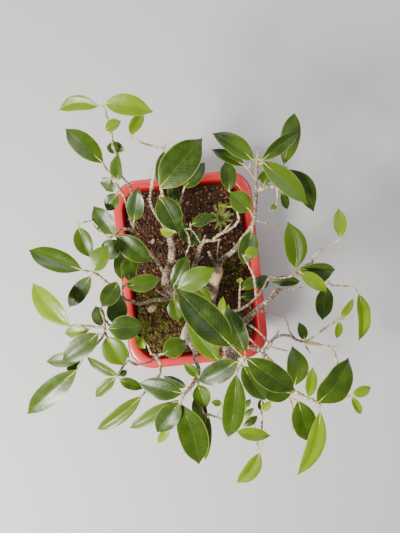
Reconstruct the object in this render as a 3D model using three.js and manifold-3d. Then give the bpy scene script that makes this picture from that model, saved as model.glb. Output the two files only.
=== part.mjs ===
// A small-leaved fig grown as a bonsai, in the red glazed pot that it stands in.
// Millimetres, +Z up, +Y along the pot's long side. The origin is the middle of the pot's underside,
// on the surface that the pot stands on.
import * as THREE from "three";
import { mergeVertices } from "three/addons/utils/BufferGeometryUtils.js";
import Module from "manifold-3d";

const wasm = await Module();
wasm.setup();

// The pot
const POT_LENGTH = 250;
const POT_WIDTH = 185;
const POT_HEIGHT = 75;
const CORNER_RADIUS = 33;
const CORNER_TAPER = 0.36;
const CORNER_STEPS = 4;
const SHARPEST_CORNER = 3;
const FLOOR_TOP = 8.5;
const UNDERSIDE = 2.5;
const DRAIN_RADIUS = 8;
const DRAIN_OFFSET = 55;
const DRAIN_SIDES = 20;
const FOOT_NOTCH_WIDTH = 14;

// The soil and what lies in it
const SOIL_EDGE = 63;
const SOIL_CROWN = 64;
const SOIL_BOTTOM = 10.4;
const SOIL_GRAIN = 1.6;
const SOIL_SEED = 11;
const MOUND_HEIGHT = 5;
const MOUND_SPREAD = 2200;
const MESH_SIDE = 34;
const MESH_THICKNESS = 1;
const CLEAR = 0.3;

// The eye that looks straight down on the tree. A place in the tree is given as this eye sees it:
// across and down on a square grid laid on the rim, then the height above the rim that the place has.
const EYE_ABOVE_RIM = 524;
const GRID_STEP = 1.309;
const EYE_FOOT = [200, 266.5];
const POT_FOOT = [190, 269.5];
const POT_TURN = THREE.MathUtils.degToRad(6.3);

// Leaves
const BLADE_THICKNESS = 0.7;
const MIDRIB_DEPTH = 0.4;
const PETIOLE_RADIUS = 0.8;
const PETIOLE_THICKNESS = 1.28;
const SHORTEST_PETIOLE = 0.8;
const BLADE_FOOT_HALF_WIDTH = 0.96;
const BLADE_FOOT_THICKNESS = 1.2;
const BLADE_FOOT_SINK = 1.2;
const BLADE_ARCH = 0.05;
const SLIVER = 0.1;
const CRUMB = 1;
const SMALL_LEAF = 26;
const LARGE_LEAF = 46;

// How many sides a stem has, by the radius that it starts with
const THICK_LIMB = 7;
const MIDDLE_LIMB = 2.4;
const THICK_SIDES = 10;
const MIDDLE_SIDES = 7;
const THIN_SIDES = 5;
const SEEDLING_SIDES = 6;

// How rough each surface is
const ROUGH = { glaze: 0.25, leaf: 0.4, mesh: 0.6, seedling: 0.7, stone: 0.8, bark: 0.85, soil: 0.95 };

// Where a blade's cross sections are along its midrib, and how wide it is there
const BLADE_SMALL = [
  [0.28, 0.9],
  [0.7, 0.78],
];
const BLADE_MIDDLE = [
  [0.16, 0.68],
  [0.44, 1],
  [0.77, 0.64],
];
const BLADE_LARGE = [
  [0.13, 0.58],
  [0.36, 0.98],
  [0.62, 0.91],
  [0.84, 0.45],
];

const COLOURS = {
  bark: 0x8f7d6b,
  glaze: 0xd23a3c,
  soil: 0x3a261b,
  mesh: 0x22262a,
  stone: 0xc9a98a,
  grown: 0x2d5a1c,
  fresh: 0x4d8226,
  young: 0x8fb52c,
};

// Woody parts: each is a row of places with the radius there. [across, down, height, radius]
const LIMBS = {
  leader: [
    [203, 311, -48, 13],
    [203, 311, -14, 25],
    [203, 311, -2, 19],
    [205, 314, 25, 15.5],
    [208, 320, 55, 12.5],
    [213, 329, 86, 10],
    [221, 341, 120, 7],
    [230, 352, 155, 5],
    [237, 358.5, 180, 3.4],
    [239.5, 360, 186, 2.6],
  ],
  root_west: [
    [198, 308, -4, 10],
    [182, 305, -8, 6],
    [168, 308, -15, 3],
  ],
  root_south_west: [
    [198, 318, 0, 12],
    [187, 335, -2, 8],
    [180, 350, -14, 3],
  ],
  root_south_east: [
    [210, 316, -5, 10],
    [224, 328, -9, 6],
    [236, 338, -16, 3],
  ],
  root_north: [
    [206, 305, -5, 9],
    [212, 288, -9, 5],
    [216, 274, -15, 2.5],
  ],
  stump: [
    [206, 306, 0, 10],
    [209, 297, 24, 9],
    [212, 287, 38, 8],
    [216, 276, 50, 7.2],
    [218.5, 270, 57, 6.2],
  ],
  stump_stub: [
    [216, 272, 52, 3],
    [213, 262, 60, 2.6],
    [208.5, 251, 66, 1.9],
  ],
  stump_twig: [
    [218, 264, 58, 1],
    [217.5, 252, 64, 0.9],
    [219, 241, 70, 0.8],
  ],
  north_east: [
    [216, 275, 48, 5],
    [221, 261.5, 58, 3.4],
    [233.5, 250.5, 68, 2.9],
    [242.5, 238.5, 76, 2.5],
    [252.5, 224, 88, 2.3],
    [255, 210, 100, 2.2],
    [256, 193, 113, 2.1],
    [255.5, 181, 123, 1.7],
  ],
  north_east_twig: [
    [254, 219.5, 92, 1.1],
    [264, 222.5, 97, 0.9],
    [272, 225, 99, 0.8],
    [283, 225.5, 101, 0.8],
  ],
  fork: [
    [200, 304, 4, 8],
    [196, 290, 34, 5.4],
    [193, 272, 55, 3.4],
    [197.5, 257, 66, 2.9],
    [201.2, 245, 74, 2.8],
    [205, 241, 77, 2.1],
    [213, 240.8, 79, 1.5],
    [222, 239.3, 81, 1.2],
  ],
  fork_stub_low: [
    [198, 261, 64, 1.5],
    [203, 256.5, 68, 1.2],
  ],
  fork_stub_high: [
    [203, 241.5, 76, 1.4],
    [205.5, 235, 80, 1],
  ],
  fork_left: [
    [201, 243, 75, 1.3],
    [198, 239, 78, 1],
    [195, 234, 81, 0.9],
    [191, 229, 84, 0.9],
  ],
  west_fork: [
    [200, 308, 0, 10],
    [187, 301, 25, 8.5],
    [175, 294, 44, 7],
    [167, 287, 52, 6],
    [166, 277, 60, 5],
    [169.5, 266, 72, 4.3],
    [172, 252, 86, 3.9],
    [170, 240, 98, 3.3],
    [165, 228, 111, 2.3],
    [160, 220, 119, 1.7],
  ],
  north_arc: [
    [160, 221, 118, 1.6],
    [151.5, 206, 124, 1.4],
    [150, 198, 126, 1.3],
    [151, 190, 129, 1.2],
  ],
  north_west: [
    [168, 278, 60, 2.2],
    [157, 262, 71, 1.8],
    [146, 248, 79, 1.6],
    [139, 240, 84, 1.4],
    [134, 231, 89, 1.3],
    [131, 222, 94, 1.3],
    [127, 207, 103, 1.2],
    [124, 196, 110, 1.1],
  ],
  upper_left: [
    [131, 221, 95, 1.2],
    [131, 205, 102, 1.2],
    [131, 190, 109, 1.2],
    [128, 184, 113, 1.3],
    [121, 175, 121, 1.2],
    [117, 155, 134, 1.1],
  ],
  west: [
    [174, 296, 44, 4.6],
    [165, 299, 52, 2.6],
    [152, 300.5, 60, 2.2],
    [139, 304, 70, 2],
    [133, 301.5, 76, 1.9],
    [124, 299, 85, 1.8],
    [117, 291, 95, 1.7],
    [110, 286, 103, 1.5],
  ],
  west_upper: [
    [173, 295, 46, 2.4],
    [163.5, 294.5, 56, 1.8],
    [155.5, 289.5, 62, 1.3],
  ],
  west_low: [
    [117, 292, 94, 1.3],
    [107, 300, 103, 1.3],
    [101, 309, 110, 1.2],
    [103.5, 318, 116, 1.2],
    [105, 328, 120, 1.2],
    [103.5, 336, 122, 1.1],
  ],
  south: [
    [200, 320, 2, 10],
    [191, 331, 22, 8],
    [191, 341, 45, 5.6],
    [195, 350, 72, 3],
    [196, 362, 92, 2.5],
    [199, 371, 105, 2.1],
    [196.5, 378.5, 112, 1.9],
  ],
  south_west: [
    [191, 337, 34, 4],
    [178, 347, 50, 2.6],
    [166, 353, 62, 2.1],
    [155.5, 356, 73, 1.7],
    [152, 361, 79, 1.4],
    [145, 363.5, 84, 1.2],
    [137, 365, 89, 1.1],
  ],
  east: [
    [213, 330, 84, 8],
    [228, 330, 88, 5.8],
    [239, 326, 92, 4.7],
    [248, 318.5, 96, 3.8],
    [256, 310.5, 100, 3],
    [268.5, 300, 106, 2.5],
    [276, 293, 110, 2.3],
    [280.5, 289, 113, 2],
  ],
  east_stub: [
    [271, 297, 108, 1.8],
    [276, 288.5, 112, 1.4],
  ],
  east_twig: [
    [279, 290, 112, 1.2],
    [291, 289, 114, 1],
    [303, 287, 116, 0.8],
  ],
  east_arch: [
    [257, 310, 100, 1.2],
    [265, 312.5, 104, 0.9],
    [276, 315, 107, 0.8],
    [284.5, 317.5, 108, 0.9],
    [288, 325, 109, 0.9],
    [290, 332, 111, 0.9],
    [295, 338, 114, 0.9],
  ],
  east_upper: [
    [212, 327, 68, 5],
    [230, 313, 80, 2.1],
    [241, 309, 84, 1.9],
    [249, 304, 88, 1.7],
    [260, 293, 94, 1.6],
    [265, 285, 97, 1.4],
    [270, 277.5, 100, 1.5],
    [281, 278, 104, 1.3],
    [290, 276.8, 107, 1.3],
  ],
  south_east: [
    [224, 331, 87, 6],
    [237, 341, 91, 3.6],
    [248, 347.2, 95, 2.5],
    [256, 349.3, 97, 2.4],
    [262, 350.3, 99, 2.5],
    [269, 346.5, 103, 2.3],
    [272.5, 340, 106, 2],
    [278, 336.5, 109, 1.7],
    [288, 335.5, 113, 1.7],
    [297, 340, 116, 1.5],
    [304, 342, 118, 1.5],
  ],
  south_east_inner: [
    [241, 326, 91, 3],
    [246, 335, 93, 2],
    [252, 341, 95, 1.3],
    [259, 347.5, 98, 1.2],
  ],
  south_east_stub: [
    [274, 339, 107, 1.5],
    [279, 331, 111, 1.1],
  ],
  south_east_twig: [
    [269, 346.5, 103, 1.2],
    [277, 348.5, 106, 1],
    [287, 351, 109, 0.8],
  ],
  south_east_link: [
    [250, 325, 94, 1.5],
    [258, 331, 97, 1.1],
    [269.5, 343.5, 104, 1.1],
  ],
  south_east_low: [
    [260, 350, 98, 2.2],
    [268, 358, 103, 1.9],
    [277, 367, 109, 1.5],
    [285, 376, 114, 1.4],
    [289.5, 384, 118, 1.3],
  ],
};

// Leafy shoots: green twigs as the limbs above, then leaves.
// A leaf: [age, base place, tip place, width as seen, roll in degrees, fold in degrees, bow].
// Roll lifts the side that is on the right when looking from base to tip, and fold lifts both sides.
// Bow, where it is given, shifts the middle of the midrib to the right, as a share of the leaf's length.
const SPRAYS = {
  spray_north_west_tip: {
    twigs: [
      [
        [117, 155, 134, 1.4], [113, 147, 139, 1.3], [111, 132, 146, 1.2], [106, 115, 153, 1.1],
        [103, 105, 156, 1],
      ],
    ],
    leaves: [
      ["young", [98.5, 105.5, 156], [58.5, 110, 146], 14, 18, 14, 0.1],
      ["young", [105, 103.5, 158], [153.5, 112, 152], 20, -12, 16, -0.06],
      ["young", [105, 130, 152], [121, 121, 154], 13, 10, 12],
      ["grown", [124, 149.5, 134], [106, 146.5, 126], 13, 0, 6],
    ],
  },
  spray_north_west_side: {
    twigs: [
      [
        [124, 196, 110, 1.5], [117, 185, 117, 1.4], [112, 177, 121, 1.3], [107, 170, 124, 1.2],
        [103.5, 164, 126, 1.1],
      ],
    ],
    leaves: [
      ["grown", [103, 163, 128], [65, 128, 122], 22, -8, 12],
      ["fresh", [118, 180, 126], [118, 153, 147], 14, 12, 22],
      ["fresh", [111, 178, 118], [106, 191, 108], 18, 0, 8],
      ["grown", [117.5, 193.5, 112], [106.5, 211, 104], 15, 0, 10],
    ],
  },
  spray_north_arc: {
    twigs: [
      [
        [151, 190, 129, 1.7], [153, 180, 132, 1.6], [154, 174, 134, 1.5], [159, 163, 137, 1.4],
        [163, 152, 140, 1.3], [162, 148, 142, 1.2], [155, 147, 143, 1.1], [144, 143.5, 146, 1],
        [131, 137, 149, 0.8],
      ],
      [[163, 151, 140, 1], [165, 144, 144, 0.9], [169, 142, 146, 0.7]],
    ],
    leaves: [["young", [131, 135, 150], [142.5, 113, 137], 13, 8, 18]],
  },
  spray_north: {
    twigs: [
      [[160, 220, 119, 2.2], [162, 208, 132, 1.9], [163, 198, 146, 1.6], [162, 191, 155, 1.3]],
      [
        [162, 209, 130, 1.3], [171, 210, 128, 1.1], [179, 205, 131, 1], [182, 196, 137, 0.9],
        [184, 189, 142, 0.8],
      ],
      [[162, 210, 130, 1.2], [168, 221, 127, 1], [174, 230, 124, 0.8]],
    ],
    leaves: [
      ["grown", [160, 188.5, 158], [202.5, 138, 168], 34, -10, 9],
      ["grown", [160, 186, 148], [164, 150, 147], 13, 0, 6],
      ["grown", [159.5, 196, 150], [178.5, 232, 138], 25, 0, 8],
      ["grown", [184, 188, 143], [205, 162, 140], 17, 0, 8],
      ["grown", [178, 202, 133], [169, 184, 136], 12, 0, 6],
      ["young", [175, 232, 123], [160, 231, 119], 12, 0, 10],
    ],
  },
  spray_west_high: {
    twigs: [
      [
        [134, 231, 89, 1.6], [129, 229, 94, 1.4], [121, 229, 99, 1.3], [116, 234, 104, 1.2],
        [108, 238.5, 107, 1.1], [98, 228, 111, 1], [92, 220.5, 114, 0.9], [80, 223, 117, 0.8],
      ],
      [[133.5, 230, 91, 1.2], [133.5, 222, 101, 1.1]],
    ],
    leaves: [
      ["grown", [114.5, 234.5, 108], [93, 206, 113], 21, 12, 10],
      ["fresh", [117, 235.5, 106], [151, 262, 96], 22, -5, 10],
      ["grown", [117, 240, 100], [105, 260, 90], 20, 0, 6],
      ["fresh", [78.5, 227, 118], [90.5, 258, 109], 18, 5, 12],
      ["grown", [134, 220.5, 104], [138, 187, 125], 18, 0, 8],
    ],
  },
  spray_west: {
    twigs: [
      [
        [110, 286, 103, 1.7], [105, 281, 108, 1.5], [97, 274.5, 113, 1.4], [92, 272, 116, 1.2],
        [84, 270.5, 119, 1],
      ],
    ],
    leaves: [
      ["grown", [82, 270, 120], [27.5, 249.5, 114], 22, -14, 12],
      ["grown", [91, 276, 113], [68, 307.5, 103], 17, 0, 7],
      ["fresh", [93, 271, 118], [108, 245, 122], 20, 8, 10],
      ["grown", [118, 283, 112], [101, 308, 118], 19, 0, 5],
    ],
  },
  spray_west_middle: {
    twigs: [
      [[124, 299, 85, 1.7], [121, 292, 92, 1.4], [123, 286.5, 99, 1.2], [125, 285, 102, 1]],
    ],
    leaves: [
      ["grown", [126.5, 286, 104], [161, 279.5, 98], 17, 5, 10],
      ["fresh", [129, 281, 94], [131, 253, 86], 17, 0, 5],
      ["grown", [122, 280, 90], [119, 250, 80], 13, 0, 5],
    ],
  },
  spray_west_under: {
    twigs: [[[103.5, 318, 116, 1.1], [109, 325, 107, 1], [115, 329.5, 98, 0.9]]],
    leaves: [["grown", [116, 325.5, 96.5], [119, 295, 90], 21, 0, 6]],
  },
  spray_west_outer: {
    twigs: [
      [
        [105, 327, 119.5, 1.2], [98, 327.5, 122, 1.1], [90, 326, 124, 1.1], [76, 325.5, 127, 1],
        [71, 326, 128, 0.9],
      ],
    ],
    leaves: [
      ["young", [69.5, 326, 129], [31, 283, 122], 24, 8, 9],
      ["young", [89, 329.5, 119], [64, 333, 112], 13, 0, 8],
      ["grown", [101.5, 326, 113], [95, 306, 101], 14, 0, 5],
    ],
  },
  spray_west_lower: {
    twigs: [
      [[103.5, 336, 122, 1.2], [96, 345, 114, 1.1], [84, 356, 112, 1], [77.5, 368, 114, 0.9]],
    ],
    leaves: [
      ["grown", [98.5, 334, 127], [61.5, 361, 121], 22, 0, 9],
      ["grown", [80, 357, 108], [45.5, 362, 101], 15, 0, 6],
      ["grown", [80, 359, 104], [66, 371, 97], 11, 0, 5],
      ["grown", [76.5, 370, 116], [26.5, 415, 104], 23, 6, 10, 0.03],
    ],
  },
  spray_west_inner: {
    twigs: [[[104.5, 331, 121, 1.2], [107, 330, 123, 1]]],
    leaves: [["grown", [108.5, 329, 124], [144.5, 326.5, 117], 25, 0, 7]],
  },
  spray_west_inner_low: {
    twigs: [[[104.8, 332, 120, 1.1], [106.5, 336, 116, 1], [109, 339, 111, 0.9]]],
    leaves: [
      ["fresh", [106.5, 337, 115], [124, 366, 106], 25, 0, 7],
      ["grown", [111, 340, 108], [129, 358, 97], 12, 0, 5],
    ],
  },
  spray_south_west: {
    twigs: [
      [[137, 365, 89, 1.6], [128, 361, 97, 1.4], [122, 368, 101, 1.2], [118, 374.5, 107, 1]],
    ],
    leaves: [
      ["fresh", [117.5, 375.5, 109], [86.5, 357, 104], 11, 15, 18],
      ["fresh", [115.5, 377.5, 107], [95, 397.5, 100], 12, -10, 14],
      ["grown", [119.5, 379.5, 104], [143, 389, 97], 11, 8, 7],
      ["grown", [120, 376, 104], [127, 370.5, 101], 7, 0, 6],
    ],
  },
  spray_south_hanging: {
    twigs: [
      [
        [156, 356.5, 74, 1.8], [160.5, 364, 82, 1.6], [160, 374, 92, 1.5], [155, 381, 99, 1.3],
        [147, 390, 106, 1.2], [142.5, 395, 111, 1],
      ],
    ],
    leaves: [["fresh", [141.5, 396.5, 113], [95.5, 431, 105], 16, 0, 12]],
  },
  spray_south: {
    twigs: [
      [[196.5, 378.5, 112, 2.1], [191, 387, 118, 1.8], [184, 395, 124, 1.6], [181, 401, 127, 1.2]],
    ],
    leaves: [
      ["grown", [182.5, 393.5, 129], [139, 383, 124], 22, 0, 6],
      ["grown", [179.5, 402, 124], [156.5, 433, 114], 22, 0, 7],
      ["grown", [181.5, 405, 121], [199, 465, 102], 29, 0, 7, -0.03],
      ["fresh", [172, 402, 113], [128.5, 429, 105], 14, -8, 12],
      ["young", [170, 424, 104], [157.5, 444, 97], 9, 0, 6],
      ["grown", [186, 387, 112], [163, 376, 107], 10, 0, 5],
      ["fresh", [198.5, 376.5, 116], [183.5, 363, 119], 10, 0, 10],
    ],
  },
  spray_south_low: {
    twigs: [
      [
        [198, 376, 109, 1.3], [198, 390, 102, 1.2], [200, 404, 101, 1.2], [204, 414, 101, 1.1],
        [212, 415.5, 102, 1.1], [221, 419, 103, 1], [232, 425, 103, 0.9], [243, 423, 104, 0.8],
        [249, 418, 105, 0.7],
      ],
    ],
    leaves: [
      ["fresh", [198, 385, 107], [206.5, 408.5, 110], 18, 0, 7],
      ["grown", [196, 396, 98], [203, 427, 88], 15, 0, 5],
      ["fresh", [206, 416, 99], [204.5, 441, 90], 10, 0, 5],
      ["fresh", [209, 417, 97], [205.5, 461, 76], 10, 0, 5],
      ["fresh", [222, 404, 106], [211, 402, 107], 7, 0, 6],
      ["grown", [244, 408, 107], [251, 399, 109], 6, 0, 5],
      ["fresh", [244.5, 416, 108], [254, 408, 110], 6, 0, 6],
      ["grown", [244, 426, 99], [258, 416, 98], 8, 0, 5],
      ["young", [237, 432, 99], [271, 436, 95], 12, 16, 14],
    ],
  },
  spray_apex: {
    twigs: [
      [[239.5, 360, 186, 2.6], [242.5, 359.5, 192, 2.1], [244, 358, 196, 1.4]],
      [[242, 360, 191, 1.3], [239.5, 366, 189, 1], [237, 373, 184, 0.9]],
    ],
    leaves: [
      ["grown", [232, 346, 203], [176, 288, 208], 33, -8, 9],
      ["grown", [245.5, 353, 193], [226, 306, 187], 21, 4, 8],
      ["grown", [238, 361.5, 190], [197.5, 382.5, 176], 23, 0, 10],
      ["fresh", [236.5, 374, 181], [228, 440, 158], 23, 0, 6],
      ["grown", [242.5, 366, 188], [265.5, 401, 170], 21, 0, 6],
      ["grown", [246.5, 358.5, 194], [295.5, 391, 182], 27, 0, 6],
    ],
  },
  spray_south_east: {
    twigs: [
      [
        [289.5, 384, 118, 1.8], [294, 391, 122, 1.7], [298, 393, 124, 1.6], [305, 397, 126, 1.6],
        [314, 401, 128, 1.5], [319, 404, 129, 1.3],
      ],
      [[316, 402.5, 128, 1.2], [334, 402, 119, 1], [352, 395.5, 121, 0.8]],
      [[293.5, 390.5, 121, 1.1], [290, 398, 115, 1], [293, 408, 109, 0.9], [293, 429, 101, 1.2]],
    ],
    leaves: [
      ["fresh", [292.5, 393, 126], [258, 390, 133], 21, 0, 7],
      ["grown", [294.5, 386, 127], [292.5, 346, 121], 22, 0, 10, 0.08],
      ["young", [309, 397.5, 129], [313, 367, 124], 12, 0, 12],
      ["grown", [298, 401, 119], [311, 443, 104], 25, 0, 5],
      ["grown", [317.5, 403, 133], [349.5, 358, 130], 31, -10, 9, 0.07],
      ["young", [320.5, 411, 127], [297.5, 477, 108], 19, 8, 8, -0.05],
      ["young", [353, 394.5, 123], [371.5, 387, 121], 11, 0, 16],
      ["young", [352, 396.5, 121], [361.5, 415, 113], 8, 0, 16],
    ],
  },
  spray_south_east_hanging: {
    twigs: [
      [
        [262, 352, 99, 1.4], [266, 367, 95, 1.2], [264, 385, 92, 1.1], [262, 402, 91, 1],
        [262, 425, 89, 0.9], [262.5, 443, 87, 0.9], [260, 453, 87, 0.8],
      ],
    ],
    leaves: [
      ["young", [260, 453, 87], [236.5, 484, 78], 17, 8, 10, -0.07],
      ["young", [263, 411, 92], [271, 401, 96], 8, 0, 8],
      ["grown", [261, 411, 88], [261, 399, 84], 7, 0, 5],
    ],
  },
  spray_east_low: {
    twigs: [
      [
        [304, 342, 118, 1.7], [318, 344.5, 121, 1.5], [329, 347.5, 124, 1.4], [334, 352, 125, 1.2],
        [337, 362, 127, 1.1], [340, 370, 128, 0.9],
      ],
      [[327, 347, 123.5, 1.1], [335.5, 346.5, 126, 0.8]],
      [
        [306, 342.5, 118.5, 1.4], [313, 337.5, 122, 1.2], [325, 328.5, 128, 1.1], [338, 319.5, 134, 1],
        [350, 317.5, 137, 0.6],
      ],
      [[307, 343, 118, 1], [306, 347, 114, 0.8], [309, 351, 112, 0.6]],
    ],
    leaves: [
      ["young", [341, 317.5, 136], [354, 298.5, 132], 8, 0, 12],
      ["young", [339.5, 321.5, 132], [337, 339, 126], 8, 0, 10],
      ["grown", [305, 340, 122], [299, 322, 126], 10, 0, 5],
    ],
  },
  spray_east: {
    twigs: [
      [
        [290, 276.8, 107, 1.5], [295, 272, 111, 1.3], [299, 269, 113, 1.2], [306, 265, 115, 1.1],
        [312, 263, 116, 1.1], [313.5, 256.5, 118, 1.1], [320, 251, 121, 1], [328, 245.5, 124, 0.9],
        [338.5, 240, 128, 0.8],
      ],
      [
        [295, 272, 111, 1.2], [303, 277, 107, 1.1], [315, 279.5, 105, 1], [327, 281, 105, 1],
        [333, 285.5, 106, 1], [345, 286, 106, 0.9], [355, 287, 105, 0.8], [358, 292.5, 104, 0.7],
      ],
    ],
    leaves: [
      ["fresh", [296.5, 268.5, 115], [288, 221.5, 121], 22, 10, 9, 0.05],
      ["young", [341, 237.5, 129], [339, 208, 124], 13, 8, 12],
      ["grown", [300, 268.5, 115], [335.5, 269.5, 112], 20, -30, 26],
      ["young", [301, 272.5, 122], [327.5, 291.5, 119], 14, 0, 12],
      ["grown", [326, 286, 103], [322.5, 320.5, 94], 18, 0, 6],
      ["grown", [300, 281.5, 103], [270, 281.5, 97], 11, 0, 6],
      ["young", [359, 294, 103], [359.5, 342, 92], 14.5, 8, 16, -0.06],
    ],
  },
  spray_north_east_low: {
    twigs: [
      [[254, 219, 92, 1.6], [252.5, 214, 98, 1.2], [251, 212, 101, 1]],
      [[251, 212, 101, 1], [245, 206, 98, 0.9], [238, 199, 96, 0.8], [230, 192, 97, 0.8]],
    ],
    leaves: [
      ["fresh", [250.5, 211, 103], [230, 192, 106], 21, 0, 8],
      ["grown", [229.5, 190.5, 99], [226, 160, 103], 17, 0, 8],
    ],
  },
  spray_north_east_under: {
    twigs: [[[252, 225, 88, 1.4], [252.5, 229, 87, 1.1]]],
    leaves: [["grown", [252, 231, 86], [243.5, 265, 74], 20, 0, 6]],
  },
  spray_middle_east: {
    twigs: [
      [
        [256, 296.5, 92, 1.3], [255.5, 288, 97, 1.2], [254, 277, 102, 1.1], [249, 266, 107, 1],
        [244, 257, 111, 0.9],
      ],
    ],
    leaves: [
      ["young", [244, 256, 112], [259.5, 249.5, 109], 11, 8, 14],
      ["grown", [257.5, 289, 90], [267, 275, 84], 13, 0, 5],
    ],
  },
  spray_middle: {
    twigs: [
      [[239.5, 309, 84, 1.3], [239.5, 297, 91, 1.1], [240, 290, 95, 1], [240.5, 282, 99, 0.8]],
    ],
    leaves: [
      ["young", [240.5, 283, 100], [240, 277.5, 102], 6, 0, 8],
      ["fresh", [242, 289.5, 95], [258, 277, 92], 11, 0, 6],
      ["grown", [241.5, 297, 89], [257, 296, 80], 9, 0, 5],
    ],
  },
  spray_north_east_tip: {
    twigs: [
      [[256, 181, 123, 2.2], [256.5, 170, 130, 1.7], [257, 163, 136, 1.4], [257.5, 154, 143, 0.7]],
      [[257, 163, 136, 1.3], [264, 163.5, 136, 1.1], [274, 165.5, 136, 1], [285, 167, 136, 1]],
      [[255.5, 179, 124, 1.2], [250, 171, 127, 1], [246, 166.5, 129, 0.9]],
      [[249, 170, 127.5, 0.9], [250, 163.5, 131, 0.7]],
    ],
    leaves: [
      ["fresh", [254, 160, 141], [212, 132, 135], 20, -8, 10],
      ["grown", [245, 165.5, 129], [211, 149, 124], 12, 0, 7],
      ["grown", [261.5, 160, 142], [299.5, 131, 140], 14, -18, 18],
      ["grown", [284, 164, 134], [295, 111.5, 121], 20, 0, 8],
      ["fresh", [262, 161.5, 141], [308, 204, 133], 22, 8, 8],
      ["fresh", [286.5, 169, 132], [314, 212, 118], 21, 0, 6, -0.07],
    ],
  },
  spray_north_east_side: {
    twigs: [
      [
        [256, 192, 113.7, 1.4], [262, 188, 117, 2.2], [268, 186.5, 119, 2.1], [275, 186.5, 119, 1.9],
        [283, 189, 119, 1.4],
      ],
      [[277, 187.3, 119, 1], [277.5, 197, 114, 0.8], [277, 203, 111, 0.7]],
    ],
    leaves: [
      ["grown", [282, 191, 117], [287.5, 209.5, 106], 9, 0, 5],
      ["fresh", [276.5, 203.5, 110], [270, 211.5, 107], 6, 0, 8],
      ["grown", [264, 185, 121], [267, 169, 124], 13, 0, 5],
    ],
  },
  spray_fork: {
    twigs: [
      [
        [213, 239.5, 79, 1.7], [220, 234, 83, 1.5], [229, 230, 86, 1.4], [235, 225.5, 89, 1.3],
        [239, 219.5, 92, 1.2], [237.5, 212, 96, 1.1], [235, 206.5, 99, 1], [227, 206.5, 102, 0.7],
      ],
      [[222, 233, 83.5, 1], [229, 225.5, 88, 0.7]],
    ],
    leaves: [["young", [229, 207, 102], [219, 205, 104], 4, 0, 8]],
  },
  spray_fork_left: {
    twigs: [
      [[191, 229, 84, 1], [190.5, 226, 86, 0.9]],
      [
        [191, 228.5, 84, 1.1], [185, 229, 82, 1], [188.5, 235, 79, 1], [190, 244, 76, 0.9],
        [186.5, 253, 74, 0.8],
      ],
    ],
    leaves: [
      ["grown", [191, 225, 86], [214.5, 215, 83], 12, 0, 6],
      ["grown", [188.5, 242, 74], [180, 221, 80], 13, 0, 6],
      ["grown", [193, 246, 72], [199, 229, 62], 9, 0, 5],
    ],
  },
  spray_crown_middle: {
    twigs: [
      [[175, 293, 47, 2.4], [175.5, 291, 62, 1.8], [175.5, 290.5, 75, 1.4]],
      [[175.2, 291.5, 58, 1.2], [186, 288.5, 57, 1], [197, 286.5, 58, 0.8]],
    ],
    leaves: [
      ["fresh", [178, 288, 79], [214.5, 268, 89], 22, 0, 9],
      ["grown", [173.5, 286.5, 77], [188, 255, 86], 17, 4, 10],
      ["fresh", [174, 298, 74], [178, 321, 67], 17, 0, 5],
      ["fresh", [198, 287, 58], [209.5, 306, 52], 14, 0, 5],
    ],
  },
  spray_south_west_inner: {
    twigs: [
      [[158, 355.5, 70, 1.5], [160.5, 354.5, 78, 1.2], [162, 354, 80, 1]],
    ],
    leaves: [["grown", [163, 354, 81], [186, 341, 75], 20, 0, 5]],
  },
  spray_south_west_twig: {
    twigs: [
      [[155, 355, 74, 1.4], [151, 354, 79, 1.1], [147.5, 345, 85, 1], [140, 338.5, 90, 0.9]],
    ],
    leaves: [["young", [137, 337, 92], [145, 349, 95], 9, 0, 8]],
  },
  spray_leader_shoot: {
    twigs: [[[216, 330, 92, 1.4], [220, 324, 98, 1.1], [222, 318, 101, 0.9]]],
    leaves: [
      ["young", [221.5, 317, 102], [223, 296.5, 106], 8, 0, 8],
      ["young", [225, 316, 100], [228.5, 304, 103], 5, 0, 8],
    ],
  },
  spray_leader_low: {
    twigs: [[[229, 351, 149, 1.4], [225, 357, 151, 1.1], [221, 360.5, 152, 0.9]]],
    leaves: [
      ["fresh", [219, 360, 152], [187, 322, 146], 19, 0, 5],
      ["grown", [223.5, 360, 148], [211, 352, 139], 10, 0, 5],
    ],
  },
};

// The pale green seedling: [across, down, height] of its foot, and of the end of each frond
const SEEDLING_FOOT = [221, 219, -11];
const SEEDLING_ROOT = { depth: 7, radius: 1.1 };
const SEEDLING_NECK = { rise: 8, radius: 0.9 };
const FROND_RISE = 6;
const FROND_WIDTH = 5;
const FROND_FOLD = 10;
const SEEDLING_FRONDS = [
  [219, 204, 8],
  [229, 213, 10],
  [213, 214, 6],
  [216, 228, 8],
  [226, 228, 6],
  [223, 208, 14],
];

// A place that the eye sees, as a point of the part
function place([across, down, height]) {
  const scale = (GRID_STEP * (EYE_ABOVE_RIM - height)) / EYE_ABOVE_RIM;
  const x = (across - EYE_FOOT[0]) * scale + (EYE_FOOT[0] - POT_FOOT[0]) * GRID_STEP;
  const y = (EYE_FOOT[1] - down) * scale + (POT_FOOT[1] - EYE_FOOT[1]) * GRID_STEP;
  const cos = Math.cos(POT_TURN);
  const sin = Math.sin(POT_TURN);
  return new THREE.Vector3(x * cos + y * sin, y * cos - x * sin, height + POT_HEIGHT);
}

function widthAt(seenWidth, height) {
  return (seenWidth * GRID_STEP * (EYE_ABOVE_RIM - height)) / EYE_ABOVE_RIM;
}

// A repeatable draw between 0 and 1
function makeDraw(seed) {
  let state = seed;
  return () => {
    state = (state * 1664525 + 1013904223) % 4294967296;
    return state / 4294967296;
  };
}

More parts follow.
